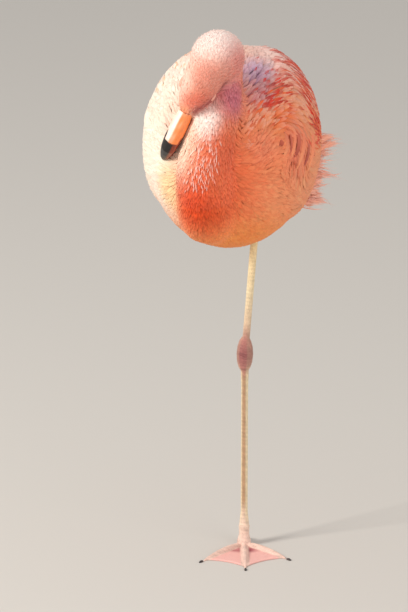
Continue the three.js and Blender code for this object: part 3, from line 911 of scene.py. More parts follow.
# %% Helpers for shader nodes
def node(tree, kind, **values):
    """A node in the tree with these input values, or settings where no input has the name."""
    made = tree.nodes.new(kind)
    for key, value in values.items():
        if key in made.inputs:
            made.inputs[key].default_value = value
        else:
            setattr(made, key, value)
    return made


def new_group(name, amount):
    """An empty shader group with one input and the outputs Shade and Height."""
    tree = bpy.data.node_groups.new(name, "ShaderNodeTree")
    tree.interface.new_socket(amount, in_out="INPUT", socket_type="NodeSocketFloat")
    for output in ("Shade", "Height"):
        tree.interface.new_socket(output, in_out="OUTPUT", socket_type="NodeSocketFloat")
    return tree, tree.nodes.new("NodeGroupInput"), tree.nodes.new("NodeGroupOutput")


print("node groups so far", len(bpy.data.node_groups))

# %% [markdown]
# ## The comb of a vane
# A vane is a comb of fine barbs on both sides of its shaft, and the light breaks on them in slanting
# lines. The group draws that comb from the feather's own map: it gives a shade that darkens between
# barbs and a height for the bump. The tint comes from the mesh, so one material dresses white, salmon
# and red feathers.

# %% Node group for barbs
BARB_SLANT, BARB_RIPPLE = -1.1, 5.0


def barbs_group():
    """Slanting barb lines from the Vane map: a shade and a height from 0 to 1."""
    tree, given, result = new_group("barbs", "Fineness")
    uv = node(tree, "ShaderNodeUVMap", uv_map="Vane")
    split = node(tree, "ShaderNodeSeparateXYZ")
    middle = node(tree, "ShaderNodeMath", operation="SUBTRACT")
    middle.inputs[1].default_value = 0.5
    side = node(tree, "ShaderNodeMath", operation="ABSOLUTE")
    slant = node(tree, "ShaderNodeMath", operation="MULTIPLY_ADD")
    slant.inputs[1].default_value = BARB_SLANT
    scaled = node(tree, "ShaderNodeMath", operation="MULTIPLY")
    rough = node(tree, "ShaderNodeTexNoise", Scale=9.0, Detail=2.0)
    bent = node(tree, "ShaderNodeMath", operation="MULTIPLY_ADD")
    bent.inputs[1].default_value = BARB_RIPPLE
    wave = node(tree, "ShaderNodeMath", operation="SINE")
    spread = node(tree, "ShaderNodeMapRange")
    spread.inputs["From Min"].default_value = -1.0
    link = tree.links.new
    link(uv.outputs["UV"], split.inputs[0])
    link(split.outputs["X"], middle.inputs[0])
    link(middle.outputs[0], side.inputs[0])
    link(side.outputs[0], slant.inputs[0])
    link(split.outputs["Y"], slant.inputs[2])
    link(slant.outputs[0], scaled.inputs[0])
    link(given.outputs["Fineness"], scaled.inputs[1])
    link(uv.outputs["UV"], rough.inputs["Vector"])
    link(rough.outputs["Fac"], bent.inputs[0])
    link(scaled.outputs[0], bent.inputs[2])
    link(bent.outputs[0], wave.inputs[0])
    link(wave.outputs[0], spread.inputs["Value"])
    link(spread.outputs["Result"], result.inputs["Shade"])
    link(spread.outputs["Result"], result.inputs["Height"])
    return tree


BARBS = barbs_group()
print("group", BARBS.name, "nodes", len(BARBS.nodes))

# %% [markdown]
# ## Grain for horn and a net for bare skin
# Horn is smooth but never even: a fine cloudy grain breaks its gloss. Bare bird skin is a net of small
# scales with grooves between them. Both patterns could be sculpted, but at well under a millimetre a
# bump reads the same. Each is a node group, so bill and claws share one and skin and legs the other.

# %% Node groups for grain and scales
def pattern_group(name, texture, settings, output, low, high):
    """A group round one texture on object coordinates, spread from low to high."""
    tree, given, result = new_group(name, "Scale")
    place = node(tree, "ShaderNodeTexCoord")
    pattern = node(tree, texture, **settings)
    spread = node(tree, "ShaderNodeMapRange")
    spread.inputs["From Min"].default_value = low
    spread.inputs["From Max"].default_value = high
    link = tree.links.new
    link(place.outputs["Object"], pattern.inputs["Vector"])
    link(given.outputs["Scale"], pattern.inputs["Scale"])
    link(pattern.outputs[output], spread.inputs["Value"])
    link(spread.outputs["Result"], result.inputs["Shade"])
    link(spread.outputs["Result"], result.inputs["Height"])
    return tree


GRAIN = pattern_group("horn_grain", "ShaderNodeTexNoise", {"Detail": 3.0}, "Fac", 0.3, 0.7)
SCALES = pattern_group(
    "scale_net", "ShaderNodeTexVoronoi", {"feature": "DISTANCE_TO_EDGE"}, "Distance", 0.0, 0.12
)
print("groups", GRAIN.name, SCALES.name)

# %% [markdown]
# ## Finishes that read the mesh's tint
# Every feather, the skin and the horn carry their own colour in the mesh, as a tint at each point. So
# a finish only has to take that tint, darken it a little in the pattern's grooves and raise a bump
# there. Feathers also scatter light sideways through their loose edges, which a little sheen gives.

# %% Tinted finishes
def tinted_finish(name, roughness, group, amount, contrast, bump, depth):
    """The mesh's tint, shaded and bumped by a pattern group whose input is set to amount."""
    material = principled(name, (0.9, 0.6, 0.5, 1), roughness)
    tree = material.node_tree
    shader = tree.nodes["Principled BSDF"]
    tint = node(tree, "ShaderNodeAttribute", attribute_name="Tint")
    pattern = node(tree, "ShaderNodeGroup", node_tree=group)
    pattern.inputs[0].default_value = amount
    dark = node(tree, "ShaderNodeMapRange")
    dark.inputs["To Min"].default_value = 1 - contrast
    blend = node(tree, "ShaderNodeMix", data_type="RGBA", blend_type="MULTIPLY")
    blend.inputs["Factor"].default_value = 1.0
    height = node(tree, "ShaderNodeBump", Strength=bump, Distance=depth)
    link = tree.links.new
    link(pattern.outputs["Shade"], dark.inputs["Value"])
    link(tint.outputs["Color"], blend.inputs[6])
    link(dark.outputs["Result"], blend.inputs[7])
    link(blend.outputs[2], shader.inputs["Base Color"])
    link(pattern.outputs["Height"], height.inputs["Height"])
    link(height.outputs["Normal"], shader.inputs["Normal"])
    return material


def set_on_shader(material, **values):
    """Sets plain numbers on the material's Principled shader, with _ for a space."""
    for key, value in values.items():
        material.node_tree.nodes["Principled BSDF"].inputs[key.replace("_", " ")].default_value = value


def feather_material(name, fineness, contrast, bump, roughness=0.65, sheen=0.10):
    """A feather's finish: barbs over the tint and a soft sheen."""
    material = tinted_finish(name, roughness, BARBS, fineness, contrast, bump, 0.0004)
    set_on_shader(material, Sheen_Weight=sheen, Sheen_Roughness=0.5, Specular_IOR_Level=0.25)
    return material


down = feather_material("down_feather", 9, 0.10, 0.25)
plumage = feather_material("body_feather", 38, 0.14, 0.3)
vanes = feather_material("vane_feather", 90, 0.16, 0.35)
print("materials", down.name, plumage.name, vanes.name)

# %% [markdown]
# ## Where feathers grow
# Each face of the skin belongs to one region, the one it lies nearest to, and each coat is scattered
# over its own regions. No feather grows over the eyes or on the bare skin where the bill begins.

# %% Faces of the skin by region
face_region = skin_shares[skin_faces].mean(1).argmax(1)
face_middle = skin_points[skin_faces].mean(1)
EYE_FORWARD, EYE_ASIDE, EYE_UP, EYE_RADIUS = 0.009, 0.0155, -0.003, 0.0065
BILL_MARGIN, EYE_MARGIN = 0.002, 0.0012
EYES = {
    side_name: HEAD_CENTRE + HEAD_FORWARD * EYE_FORWARD + HEAD_LEFT * sign * EYE_ASIDE + HEAD_CROWN * EYE_UP
    for side_name, sign in (("left", 1), ("right", -1))
}


def covered(middles):
    """Where feathers grow: not round the eyes or on the bare skin at the bill's root."""
    bare = np.linalg.norm(middles - BILL_ROOT, axis=1) < BILL_MARGIN
    for eye in EYES.values():
        bare |= np.linalg.norm(middles - eye, axis=1) < EYE_RADIUS + EYE_MARGIN
    return ~bare


def within(*regions):
    """True for the skin's faces that belong to these regions."""
    return np.isin(face_region, [REGIONS.index(region) for region in regions])


print("faces of the head", int(within("head").sum()), "left bare", int((~covered(face_middle)).sum()))

# %% [markdown]
# ## The short plumage of head and neck
# On the face the feathers are a few millimetres long and stand so close that they look like velvet.
# They grow longer down the neck. Each part of the skin gets its own patch with its own spacing and
# length, and every feather takes the colour of the place where its tip shows, a little varied.

# %% The short plumage of head and neck
def colours_for(spines, seed, spread=0.07):
    """A tint for each feather from the markings where it shows, varied a little."""
    dice = np.random.default_rng(seed)
    shown = spines[:, -2]
    colour = plumage_colour(shown)
    light = 1 + dice.normal(0, spread, (len(shown), 1))
    warm = dice.normal(0, spread * 0.6, (len(shown), 1)) * np.array((0.2, -1.0, -1.2))
    return np.clip(colour * light * (1 + warm), 0, 1)


def short_coat(name, region, spacing, length, half_width, seed, pale):
    """A patch of short plumage over one region of the skin, with sizes in millimetres."""
    roots = scatter(within(region) & covered(face_middle), spacing * MM, seed)
    dice = np.random.default_rng(seed + 1)
    lengths = length * MM * (1 + dice.normal(0, 0.14, len(roots)))
    spines, ups, sides = run_spines(roots, lengths, 0.16, 1.8, seed + 2)
    widths = half_width * MM * (1 + dice.normal(0, 0.12, len(roots)))
    tints = colours_for(spines, seed + 3)
    tips = tints + (np.array((1.0, 0.90, 0.86)) - tints) * pale
    piece = lay_feathers(name, LOCK, spines, ups, sides, widths, (0.16 * MM, 0.16, 0.35, 0), tints, tips)
    hand_over(piece, down, "plumage", region)


# Each patch has a region, a spacing, a length, half a width, a seed and how pale its tips are.
SHORT_COATS = (
    ("coat_head", "head", 0.95, 5.5, 0.95, 100, 0.10),
    ("coat_bend", "neck_bend", 1.15, 7.0, 1.1, 200, 0.15),
    ("coat_neck_upper", "neck_upper", 1.5, 11, 1.3, 300, 0.05),
    ("coat_neck_middle", "neck_middle", 1.6, 13, 1.5, 400, 0.03),
    ("coat_neck_base", "neck_base", 1.8, 16, 1.8, 500, 0.0),
)
for values in SHORT_COATS:
    short_coat(*values)

# %% [markdown]
# ## Loose wisps
# Not every feather lies flat. Down the sunny front of the neck pale pointed tufts stand a little off the
# coat, and round the skull and the bend short ones break the smooth outline. They are laid as the coat
# is, but farther apart, and each one rises more and more towards its tip.

# %% Wisps on the neck and the skull
TUFT_LINE = np.array([(8, -205, 589), (10, -210, 576), (11, -214, 560), (6, -218, 545), (1, -221, 533)])


def loose_wisps(name, wanted, spacing, length, half_width, lift, whiteness, seed, replaced):
    """A thin scatter of pointed feathers whose tips stand off the coat by about lift."""
    dice = np.random.default_rng(seed)
    roots = scatter(wanted, spacing * MM, seed + 1)
    lengths = length * MM * dice.uniform(0.7, 1.3, len(roots))
    spines, ups, sides = run_spines(roots, lengths, 0.25, 1.6, seed + 2)
    rise = lift * MM * dice.uniform(0.4, 1.4, len(roots))
    spines = spines + ups * rise[:, None, None] * (np.linspace(0, 1, SPINE_STEPS + 1) ** 1.5)[None, :, None]
    tints = colours_for(spines, seed + 3)
    tips = tints + (np.array((1.0, 0.88, 0.82)) - tints) * dice.uniform(0.4, 1.0, (len(roots), 1)) * whiteness
    widths = half_width * MM * dice.uniform(0.7, 1.2, len(roots))
    piece = lay_feathers(name, STREAK, spines, ups, sides, widths, (0.2 * MM, 0.1, 0.1, 0), tints, tips)
    hand_over(piece, down, "plumage", *replaced)


ragged_edge = 10 + 6 * mottle(face_middle, 0.012, 7)
near_tuft_line = distance_to_line(face_middle / MM, TUFT_LINE) < ragged_edge
loose_wisps("wisps_neck", near_tuft_line, 2.8, 16, 0.8, 0.9, 0.7, 520, ("neck_middle", "neck_upper"))
on_skull = within("head", "neck_bend") & covered(face_middle)
loose_wisps("wisps_skull", on_skull, 4.2, 7, 0.55, 1.2, 0.3, 540, ("head", "neck_bend"))

# %% [markdown]
# ## Red and orange tips
# High on the left shoulder some feathers end in red, and a few on the right one in orange. Which ones do
# is left to chance, but the chance is largest in the middle of each patch, so that the patches have no
# edge. Elsewhere on the back and wings the tips are a little paler than the feather.

# %% Colours of the tips
RED_TIP = linear(212, 54, 22)
ORANGE_TIP = linear(250, 160, 70)


def shoulder_tips(spines, tints, dice):
    """Red tips high on the left side, orange spots on the right shoulder, pale ones elsewhere."""
    shown = spines[:, -1] / MM
    left = spot(shown, (62, -20, 598), (42, 78, 30))
    near_neck = spot(shown, (48, -125, 592), (24, 30, 20), 1.0)
    right = spot(shown, (-74, -70, 606), (26, 60, 26), 1.0)
    chance = dice.random(len(shown))
    red = ((chance < 0.45 * left + 0.30 * near_neck) * 0.9)[:, None]
    orange = ((chance < 0.14 * right) * 0.8)[:, None]
    paler = np.where(shown[:, 0] > 0, smooth_step(525, 580, shown[:, 2]), 1.0)[:, None] * 0.25
    pale = tints + (np.array((1.0, 0.84, 0.80)) - tints) * paler
    return mixed(mixed(pale, RED_TIP, red), ORANGE_TIP, orange)


print("red tip", RED_TIP.round(2), "orange tip", ORANGE_TIP.round(2))

# %% [markdown]
# ## The body's contour feathers
# On breast and belly the feathers are small, loose and round-tipped. On the back and the wings they
# grow into broad coverts with a shaft, longer towards the rump. One function lays them all, with a
# spacing, and with a length and a width that change from front to rear.

# %% The body's contour feathers
PLAIN = (0.2 * MM, 0.10, 0.5, 0)
STREAKED = (0.3 * MM, 0.10, 0.30, 0.7)


def body_coat(name, region, chosen, spacing, length, half_width, form, seed, slot, finish,
              tip_colour=None, look=PLAIN):
    """A patch of larger feathers over part of the body."""
    roots = scatter(within(region) & chosen(face_middle), spacing * MM, seed)
    dice = np.random.default_rng(seed + 1)
    lengths = length(roots) * MM * (1 + dice.normal(0, 0.10, len(roots)))
    spines, ups, sides = run_spines(roots, lengths, 0.10, 1.9, seed + 2)
    widths = half_width(roots) * MM * (1 + dice.normal(0, 0.08, len(roots)))
    tints = colours_for(spines, seed + 3)
    tips = tints
    if tip_colour:
        tips = tip_colour(spines, tints, dice)
    piece = lay_feathers(name, form, spines, ups, sides, widths, look, tints, tips)
    hand_over(piece, finish, slot, region)


def growing(front, rear):
    """A number that grows from the breast to the rump."""
    return lambda roots: front + (rear - front) * smooth_step(-0.16, 0.14, roots[:, 1])


BREAST_END, BACK_START, WING_COAT_END = -0.06, 0.56, 0.128
body_coat("coat_breast", "trunk", lambda m: (m[:, 1] < BREAST_END) & (m[:, 2] < BACK_START), 2.4,
          growing(20, 26), growing(2.0, 2.6), LOCK, 600, "plumage", plumage)
body_coat("coat_belly", "trunk", lambda m: (m[:, 1] >= BREAST_END) & (m[:, 2] < BACK_START), 3.0,
          growing(26, 36), growing(3.2, 4.2), SPLIT_LOCK, 700, "plumage", plumage)
body_coat("coat_back", "trunk", lambda m: m[:, 2] >= BACK_START, 3.6, growing(26, 46),
          growing(2.0, 4.5), COVERT, 800, "pale_plumage", plumage, shoulder_tips, STREAKED)
for side_name, seed in (("left", 900), ("right", 1000)):
    body_coat("coat_wing_" + side_name, "wing_" + side_name, lambda m: m[:, 1] < WING_COAT_END, 4.3,
              growing(32, 54), growing(2.3, 6.0), COVERT, seed, "wing_plumage", vanes, shoulder_tips, STREAKED)

# %% [markdown]
# ## Red streaks at the shoulder
# Among the pale shoulder feathers of the left side many narrow ones are red for most of their length.
# They run from the neck outward and down round the bulge of the folded wing, and read as brush strokes.
# They are laid as a thin second layer just over the coat, thickest along the bird's outline.

# %% Red streak feathers
def varied(colour, count, seed, spread=0.06):
    """The same colour for each feather, a little lighter or darker."""
    light = 1 + np.random.default_rng(seed).normal(0, spread, (count, 1))
    return np.clip(linear(*colour) * light, 0, 1)


OUTLINE = np.array([(34, -9, 629), (53, -31, 621), (67, -40, 608), (77, -46, 595), (84, -48, 579),
                    (90, -50, 563), (93, -55, 548)])
BEHIND = np.array([(44, 12, 618), (60, 14, 604), (78, -8, 582), (89, -30, 556)])
NECK_SIDE = np.array([(50, -104, 604), (53, -124, 592), (50, -140, 580)])
# Each line has a strength and a reach in millimetres.
RED_LINES = ((OUTLINE, 1.0, 15), (BEHIND, 0.5, 20), (NECK_SIDE, 0.6, 13))
STREAK_RED = np.array([linear(228, 40, 10), linear(248, 96, 30), linear(198, 34, 28)])
streak_dice = np.random.default_rng(61)
roots = scatter(within("trunk", "wing_left") & (face_middle[:, 2] > 0.53), 3.6 * MM, 60)
redness = sum(
    strength * np.exp(-((distance_to_line(roots / MM, line) / reach) ** 2))
    for line, strength, reach in RED_LINES
)
roots = roots[streak_dice.random(len(roots)) < redness]
streak_lengths = streak_dice.uniform(26, 52, len(roots)) * MM
spines, ups, sides = run_spines(roots, streak_lengths, 0.12, 1.6, 62)
spines = spines + ups * (0.7 * MM * np.linspace(0, 1, SPINE_STEPS + 1))[None, :, None]
tints = colours_for(spines, 63)
tips = STREAK_RED[streak_dice.integers(0, 3, len(roots))] * streak_dice.uniform(0.85, 1.15, (len(roots), 1))
widths = streak_dice.uniform(1.2, 2.3, len(roots)) * MM
streaks = lay_feathers("coat_streaks", STREAK, spines, ups, sides, widths, (0.25 * MM, 0.12, 0.05, 0), tints,
                       np.clip(tips, 0, 1))
hand_over(streaks, plumage, "wing_plumage", "trunk", "wing_left")

# %% [markdown]
# ## Two tints for a set
# The feathers of a small set share one colour at the root and another at the tip, each a little lighter
# or darker from feather to feather.

# %% Tints of a set
def two_tints(root_colour, tip_colour, count, seed, spread=0.06):
    """Varied colours for the roots and for the tips of a set of feathers."""
    return varied(root_colour, count, seed, spread), varied(tip_colour, count, seed + 1, spread)


print("two feathers of a set", two_tints((250, 204, 188), (248, 186, 166), 2, 27)[0].round(2).tolist())

# %% [markdown]
# ## The rolls under the left wrist
# Where the left wing is folded tightest, the feathers bunch into long curved rolls that run down and
# then forward, with shaded gaps between them. Each roll is one broad, strongly arched feather laid along
# its own curve on the skin. Under each gap lies a flat feather in a darker, dull red, which is painted shade.

# %% Rolls and gaps
ROLLS = (
    ((78, -119, 564), (80, -124, 546), (76, -140, 533), 3.0),
    ((83, -101, 563), (86, -108, 544), (82, -126, 525), 3.3),
    ((88, -79, 559), (92, -87, 535), (88, -110, 512), 4.2),
    ((92, -51, 552), (96, -57, 525), (93, -81, 498), 5.0),
)
# painted shade: flat dark feathers that lie under the gaps between the rolls
GAP_SHADOW_FEATHERS = (
    ((81, -111, 561), (84, -116, 545), (80, -131, 529), 2.2),
    ((86, -96, 558), (89, -99, 542), (85, -121, 522), 4.2),
    ((93, -73, 543), (94, -74, 527), (91, -97, 507), 3.2),
    ((76, -127, 557), (76, -131, 552), (71, -137, 544), 3.0),
)


def curve(start, middle, end, count):
    """Points along a quadratic curve given by its two ends and the point that pulls it."""
    share = np.linspace(0, 1, count)[:, None]
    start, middle, end = (np.array(p, float) for p in (start, middle, end))
    return start * (1 - share) ** 2 + middle * 2 * share * (1 - share) + end * share ** 2


def laid_along(name, lines, lift, camber, form, colours):
    """Feathers on the skin along given curves, raised by lift at their middle."""
    arch = np.sin(math.pi * np.linspace(0, 1, SPINE_STEPS + 1))
    spines, ups, sides, widths = [], [], [], []
    for top, middle, bottom, half_width in lines:
        top, middle, bottom = (np.array(p, float) * MM for p in (top, middle, bottom))
        pull = 2 * middle - (top + bottom) / 2
        places, normals, _, depth = on_skin(curve(top, pull, bottom, SPINE_STEPS + 1))
        rise = depth * (0.5 + 0.5 * arch) + lift * MM * arch ** 0.7
        line = places + normals * rise[:, None]
        spines.append(line)
        ups.append(normals)
        sides.append(np.cross(unit(np.gradient(line, axis=0)), normals))
        widths.append(half_width * MM)
    piece = lay_feathers(name, form, np.stack(spines), np.stack(ups), np.stack(sides), np.array(widths),
                         (0.3 * MM, camber, 0.3, 0), *colours)
    hand_over(piece, plumage, "wing_plumage", "wing_left")


# painted shade: a dark dull red under the gaps between the rolls
laid_along("wrist_gap_shadows", GAP_SHADOW_FEATHERS, 0.7, 0.0, STREAK, two_tints((212, 104, 78), (168, 66, 52), len(GAP_SHADOW_FEATHERS), 71))
laid_along("wrist_rolls", ROLLS, 2.0, 0.5, COVERT,
           two_tints((246, 140, 104), (252, 160, 112), len(ROLLS), 73))

# %% [markdown]
# ## Closing the wing's edge
# Where the front of a folded wing meets the body, two sheets of feathers meet and small dark slits can
# open between them. On the bird soft body feathers spill over that edge. A few patches of short locks
# are laid there, a little above the coats on both sides.

# %% Feathers over the wing's edge
roots = scatter(near_edge_spots(face_middle) > 0.3, 2.2 * MM, 80)
spines, ups, sides = run_spines(roots, np.full(len(roots), 18 * MM), 0.12, 1.8, 81)
arch = 0.9 * MM * np.sin(math.pi * np.linspace(0.1, 0.9, SPINE_STEPS + 1))
spines = spines + ups * arch[None, :, None]
tints = colours_for(spines, 82)
edge_coat = lay_feathers("coat_wing_edge", LOCK, spines, ups, sides, np.full(len(roots), 2.4 * MM),
                         (0.2 * MM, 0.12, 0.4, 0), tints, tints)
hand_over(edge_coat, plumage, "wing_plumage", "wing_left", "wing_right")

# %% [markdown]
# ## Long quills
# Behind the coverts lie the long feathers: the tertials that roof the rump, the black flight feathers
# and a short fanned tail. Each follows a curve in the air instead of the skin, so their spines are
# worked out from the same curves that shaped the solids.

# %% Curves for the quills
CENTRE_X = -4
STATIONS = 13


def quill_set(name, paths, outward, half_width, look, colours, finish, slot, replaced):
    """A set of long vanes along these paths, whose broad faces look outward."""
    spines = np.stack(paths) * MM
    tangents = unit(np.gradient(spines, axis=1))
    outward = np.array(outward, float)
    if outward.ndim == 1:
        outward = np.repeat(outward[None], len(paths), 0)
    ups = unit(outward[:, None] - tangents * (tangents * outward[:, None]).sum(2, keepdims=True))
    widths = np.full(len(paths), float(half_width)) * MM
    piece = lay_feathers(name, QUILL_VANE, spines, ups, np.cross(tangents, ups), widths, look, *colours)
    hand_over(piece, finish, slot, replaced)


def fanned(start, middle, end, outward, spread, count, lift, shorten=0.0, rise=(0, 0, 0), begin=0.0):
    """Neighbouring paths spread across a blade, each lying a little under the one above."""
    path = curve(start, middle, end, STATIONS)
    outward = np.array(outward, float)
    wide = unit(np.cross(unit(np.gradient(path, axis=0)), outward))
    narrowing = np.linspace(1, 0.3, STATIONS)[:, None]
    raised = np.interp(np.linspace(0, 1, STATIONS), (begin, begin + 0.3, 1), rise)[:, None]
    paths = []
    for number in range(count):
        place = number / (count - 1) * 2 - 1
        moved = path + wide * place * spread * narrowing
        height = lift * (number - count / 2) + raised
        moved = moved + unit(outward) * height * math.sqrt(1 - (0.85 * place) ** 2)
        stops = np.linspace(begin, 1 - shorten * abs(place), STATIONS) * (STATIONS - 1)
        paths.append(np.stack([np.interp(stops, np.arange(STATIONS), moved[:, i]) for i in range(3)], 1))
    return paths


print("places along each quill", STATIONS)

# %% [markdown]
# ## Tertials and flight feathers
# Each wing has a blade of pale tertials over the rump, with the darker ends of the flight feathers under
# it. Both blades are fans of vanes that lie a little under one another, so the edges show as steps.

# %% The quills of both wings
TERTIALS, PRIMARIES = 8, 5
black_vane = feather_material("black_vane", 90, 0.3, 0.3, roughness=0.45, sheen=0.05)
for side_name, sign in (("left", 1), ("right", -1)):
    tertials = fanned(
        (CENTRE_X + sign * 57, 36, 566), (CENTRE_X + sign * 50, 120, 556), (CENTRE_X + sign * 18, 216, 490),
        (sign, 0, 0.9), 27 * sign, TERTIALS, 1.0, 0.16, (-5, 4, 6), 0.30,
    )
    quill_set("tertials_" + side_name, tertials, (sign, 0, 0.9), 9.5, (0.5 * MM, 0.22, 0.3, 0.5),
              two_tints((244, 188, 166), (240, 168, 146), TERTIALS, 21, 0.10),
              vanes, "wing_plumage", "wing_" + side_name)
    primaries = fanned(
        (CENTRE_X + sign * 50, 30, 506), (CENTRE_X + sign * 58, 120, 495), (CENTRE_X + sign * 23, 221, 477),
        (sign, 0, 0.45), 7 * sign, PRIMARIES, 0.8, 0.05, (-3, 0, 0), 0.12,
    )
    quill_set("primaries_" + side_name + "_vanes", primaries, (sign, 0, 0.45), 6.5, (0.5 * MM, 0.12, 0.3, 0.5),
              two_tints((38, 32, 32), (22, 19, 20), PRIMARIES, 23),
              black_vane, "black_feather", "primaries_" + side_name)

# %% [markdown]
# ## Coverts over the black quills
# On a folded wing only the last part of the black quills shows. Their roots lie under a row of soft
# flank feathers, which are laid here on each side from the flank back over the quills.

# %% Coverts over the roots of the primaries
FLANK_TINTS = {"left": (246, 160, 116), "right": (248, 186, 156)}
for side_name, sign in (("left", 1), ("right", -1)):
    rows = []
    for number, root_z in enumerate(np.linspace(508, 488, 7)):
        end_y = 136 - 9 * (number % 2) - 1.5 * number
        rows.append(curve((CENTRE_X + sign * 51, 58, root_z), (CENTRE_X + sign * 60, 98, root_z - 4),
                          (CENTRE_X + sign * 50, end_y, root_z - 8), STATIONS))
    quill_set("flank_coverts_" + side_name, rows, (sign, 0, 0.3), 5.2, (0.4 * MM, 0.2, 0.3, 0.5),
              two_tints(FLANK_TINTS[side_name], (250, 196, 170), len(rows), 35),
              vanes, "wing_plumage", "wing_" + side_name)

# %% [markdown]
# ## The tail
# The tail is short: a dozen vanes in a shallow fan, the middle ones on top and longest. It fills the
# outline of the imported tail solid.

# %% The tail fan
TAIL_VANES = 12
TAIL_ROOT, TAIL_END, TAIL_HEIGHT, TAIL_DROOP = 60, 209, 483, 8
tail_paths = []
for number in range(TAIL_VANES):
    place = number / (TAIL_VANES - 1) * 2 - 1
    stack = 2.2 - 3.4 * abs(place)
    end = TAIL_END - 18 * place * place
    tail_paths.append(curve(
        (CENTRE_X + 14 * place, TAIL_ROOT, TAIL_HEIGHT + stack),
        (CENTRE_X + 22 * place, (TAIL_ROOT + end) / 2, TAIL_HEIGHT + stack),
        (CENTRE_X + 29 * place, end, TAIL_HEIGHT + stack - TAIL_DROOP), STATIONS,
    ))
quill_set("tail_vanes", tail_paths, (0, 0, 1), 8, (0.5 * MM, 0.10, 0.3, 0.5),
          two_tints((250, 214, 202), (246, 192, 176), TAIL_VANES, 25),
          vanes, "pale_plumage", "tail")

# %% [markdown]
# ## From the rump to the tail
# Between the folded wings the rump falls steeply to the tail. Rows of coverts bridge that step like
# roof tiles, the first row rooted under the back's feathers, and two more rows close the underside.

# %% Feathers that roof the tail's root
# Each row has the y of its roots and ends, their heights, a number of feathers and a spread.
COVERT_ROWS = (
    (104, 158, 572, 541, 5, 0.6), (118, 172, 559, 528, 5, 0.6),
    (132, 186, 544, 514, 5, 0.6), (146, 199, 529, 500, 5, 0.6),
    (84, 146, 516, 497, 9, 1), (96, 164, 507, 492, 9, 1), (110, 182, 498, 489, 9, 1),
    (80, 150, 462, 472, 9, 1), (96, 180, 470, 477, 9, 1),
)
roof_paths, roof_out = [], []
for root_y, end_y, root_z, end_z, number, spread in COVERT_ROWS:
    upward = 1.0 if root_z > TAIL_HEIGHT else -1.0
    for place in np.linspace(-spread, spread, number):
        roof_paths.append(curve(
            (CENTRE_X + 26 * place, root_y, root_z - 6 * place * place),
            (CENTRE_X + 28 * place, (root_y + end_y) / 2 + 8, (root_z + end_z) / 2 + 3 * upward),
            (CENTRE_X + 24 * place, end_y - 10 * place * place, end_z - TAIL_DROOP * 0.5), STATIONS,
        ))
        roof_out.append((0.25 * place, 0, upward))
quill_set("tail_coverts", roof_paths, roof_out, 7, (0.4 * MM, 0.15, 0.3, 0.5),
          two_tints((250, 204, 188), (248, 186, 166), len(roof_paths), 27),
          vanes, "pale_plumage", "tail")

# %% [markdown]
# ## Loose down at the flank
# A breeze lifts a few long downy feathers at the left rear edge. They are single fine strands in a few
# tufts that lean outward and curl, so the light passes between them.

# %% Downy plume
PLUME_ROOT, PLUME_TURN = np.array((59, 44, 429)), math.radians(36)
# Each tuft has a height above the plume's root, a reach outward and a rise, in millimetres.
PLUME_TUFTS = ((6, 34, -7), (13, 28, 0), (31, 32, -9), (38, 42, -4),
               (52, 36, 2), (59, 45, 5), (66, 52, 6), (71, 42, 8))
WEBS_EACH, STRANDS_EACH = 9, 44
dice = np.random.default_rng(31)
outward = np.array((math.cos(PLUME_TURN), math.sin(PLUME_TURN), 0))
backward = np.array((-math.sin(PLUME_TURN), math.cos(PLUME_TURN), 0))
FORWARD_FACE = np.array((0.25, -0.90, 0.30))


def flank_lines(count, short, long, wild):
    """Curved lines from the flank outward: count for each tuft, reaching from short to long of its way."""
    share = np.linspace(0, 1, SPINE_STEPS + 1)[None, :, None]
    lines = []
    for level, reach, rise in PLUME_TUFTS:
        root = PLUME_ROOT - outward * 12 + (0, 0, level) + dice.normal(0, 12, (count, 1)) * backward
        root = root + dice.normal(0, 3.0, (count, 1)) * (0, 0, 1)
        tip = PLUME_ROOT + outward * reach * dice.uniform(short, long, (count, 1)) + (0, 0, level + rise)
        tip = tip + dice.normal(0, wild, (count, 3)) + dice.normal(3, 9, (count, 1)) * backward
        bow = dice.normal(0, wild, (count, 3)) + (0, 0, 2.0)
        curl = dice.normal(0, wild * 0.5, (count, 3))
        line = mixed(root[:, None], tip[:, None], share) + bow[:, None] * np.sin(math.pi * share)
        lines.append(line + curl[:, None] * np.sin(2 * math.pi * share))
    return np.concatenate(lines) * MM


def loose_piece(name, form, lines, half_widths, tilt, colours):
    """Loose feathers along these lines, facing forward with some tilt of their own."""
    tangents = unit(np.gradient(lines, axis=1))
    facing = unit(FORWARD_FACE + dice.normal(0, tilt, (len(lines), 1, 3)))
    faces_to = unit(facing - tangents * (facing * tangents).sum(2, keepdims=True))
    piece = lay_feathers(name, form, lines, faces_to, np.cross(tangents, faces_to), half_widths * MM,
                         (0.2 * MM, 0.12, 0.2, 0), *colours)
    hand_over(piece, down, "pale_plumage", "plume_left")


webs = flank_lines(WEBS_EACH, 0.45, 0.85, 3.0)
loose_piece("plume_webs", SPLIT_LOCK, webs, dice.uniform(2.4, 4.2, len(webs)), 0.3,
            two_tints((250, 164, 126), (252, 196, 176), len(webs), 32))
strands = flank_lines(STRANDS_EACH, 0.5, 1.1, 3.4)
loose_piece("plume_strands", STREAK, strands, dice.uniform(0.4, 0.8, len(strands)), 0.6,
            two_tints((250, 172, 146), (254, 206, 192), len(strands), 34))
print("plume lines", len(webs) + len(strands))

# %% [markdown]
# ## Measuring along a bent bill
# A flamingo's bill runs straight out of the face, then bends sharply down, and is black from the bend
# on. To colour it, one number is needed at each point: how far out along the bent bill it lies.

# %% The reach along the bill
BILL_BEND = 0.074
HOOK = math.radians(64)


def in_head(points):
    """Places as forward, left and up in the head's own frame."""
    arm = points - HEAD_CENTRE
    return np.stack([arm @ HEAD_FORWARD, arm @ HEAD_LEFT, arm @ HEAD_CROWN], 1)


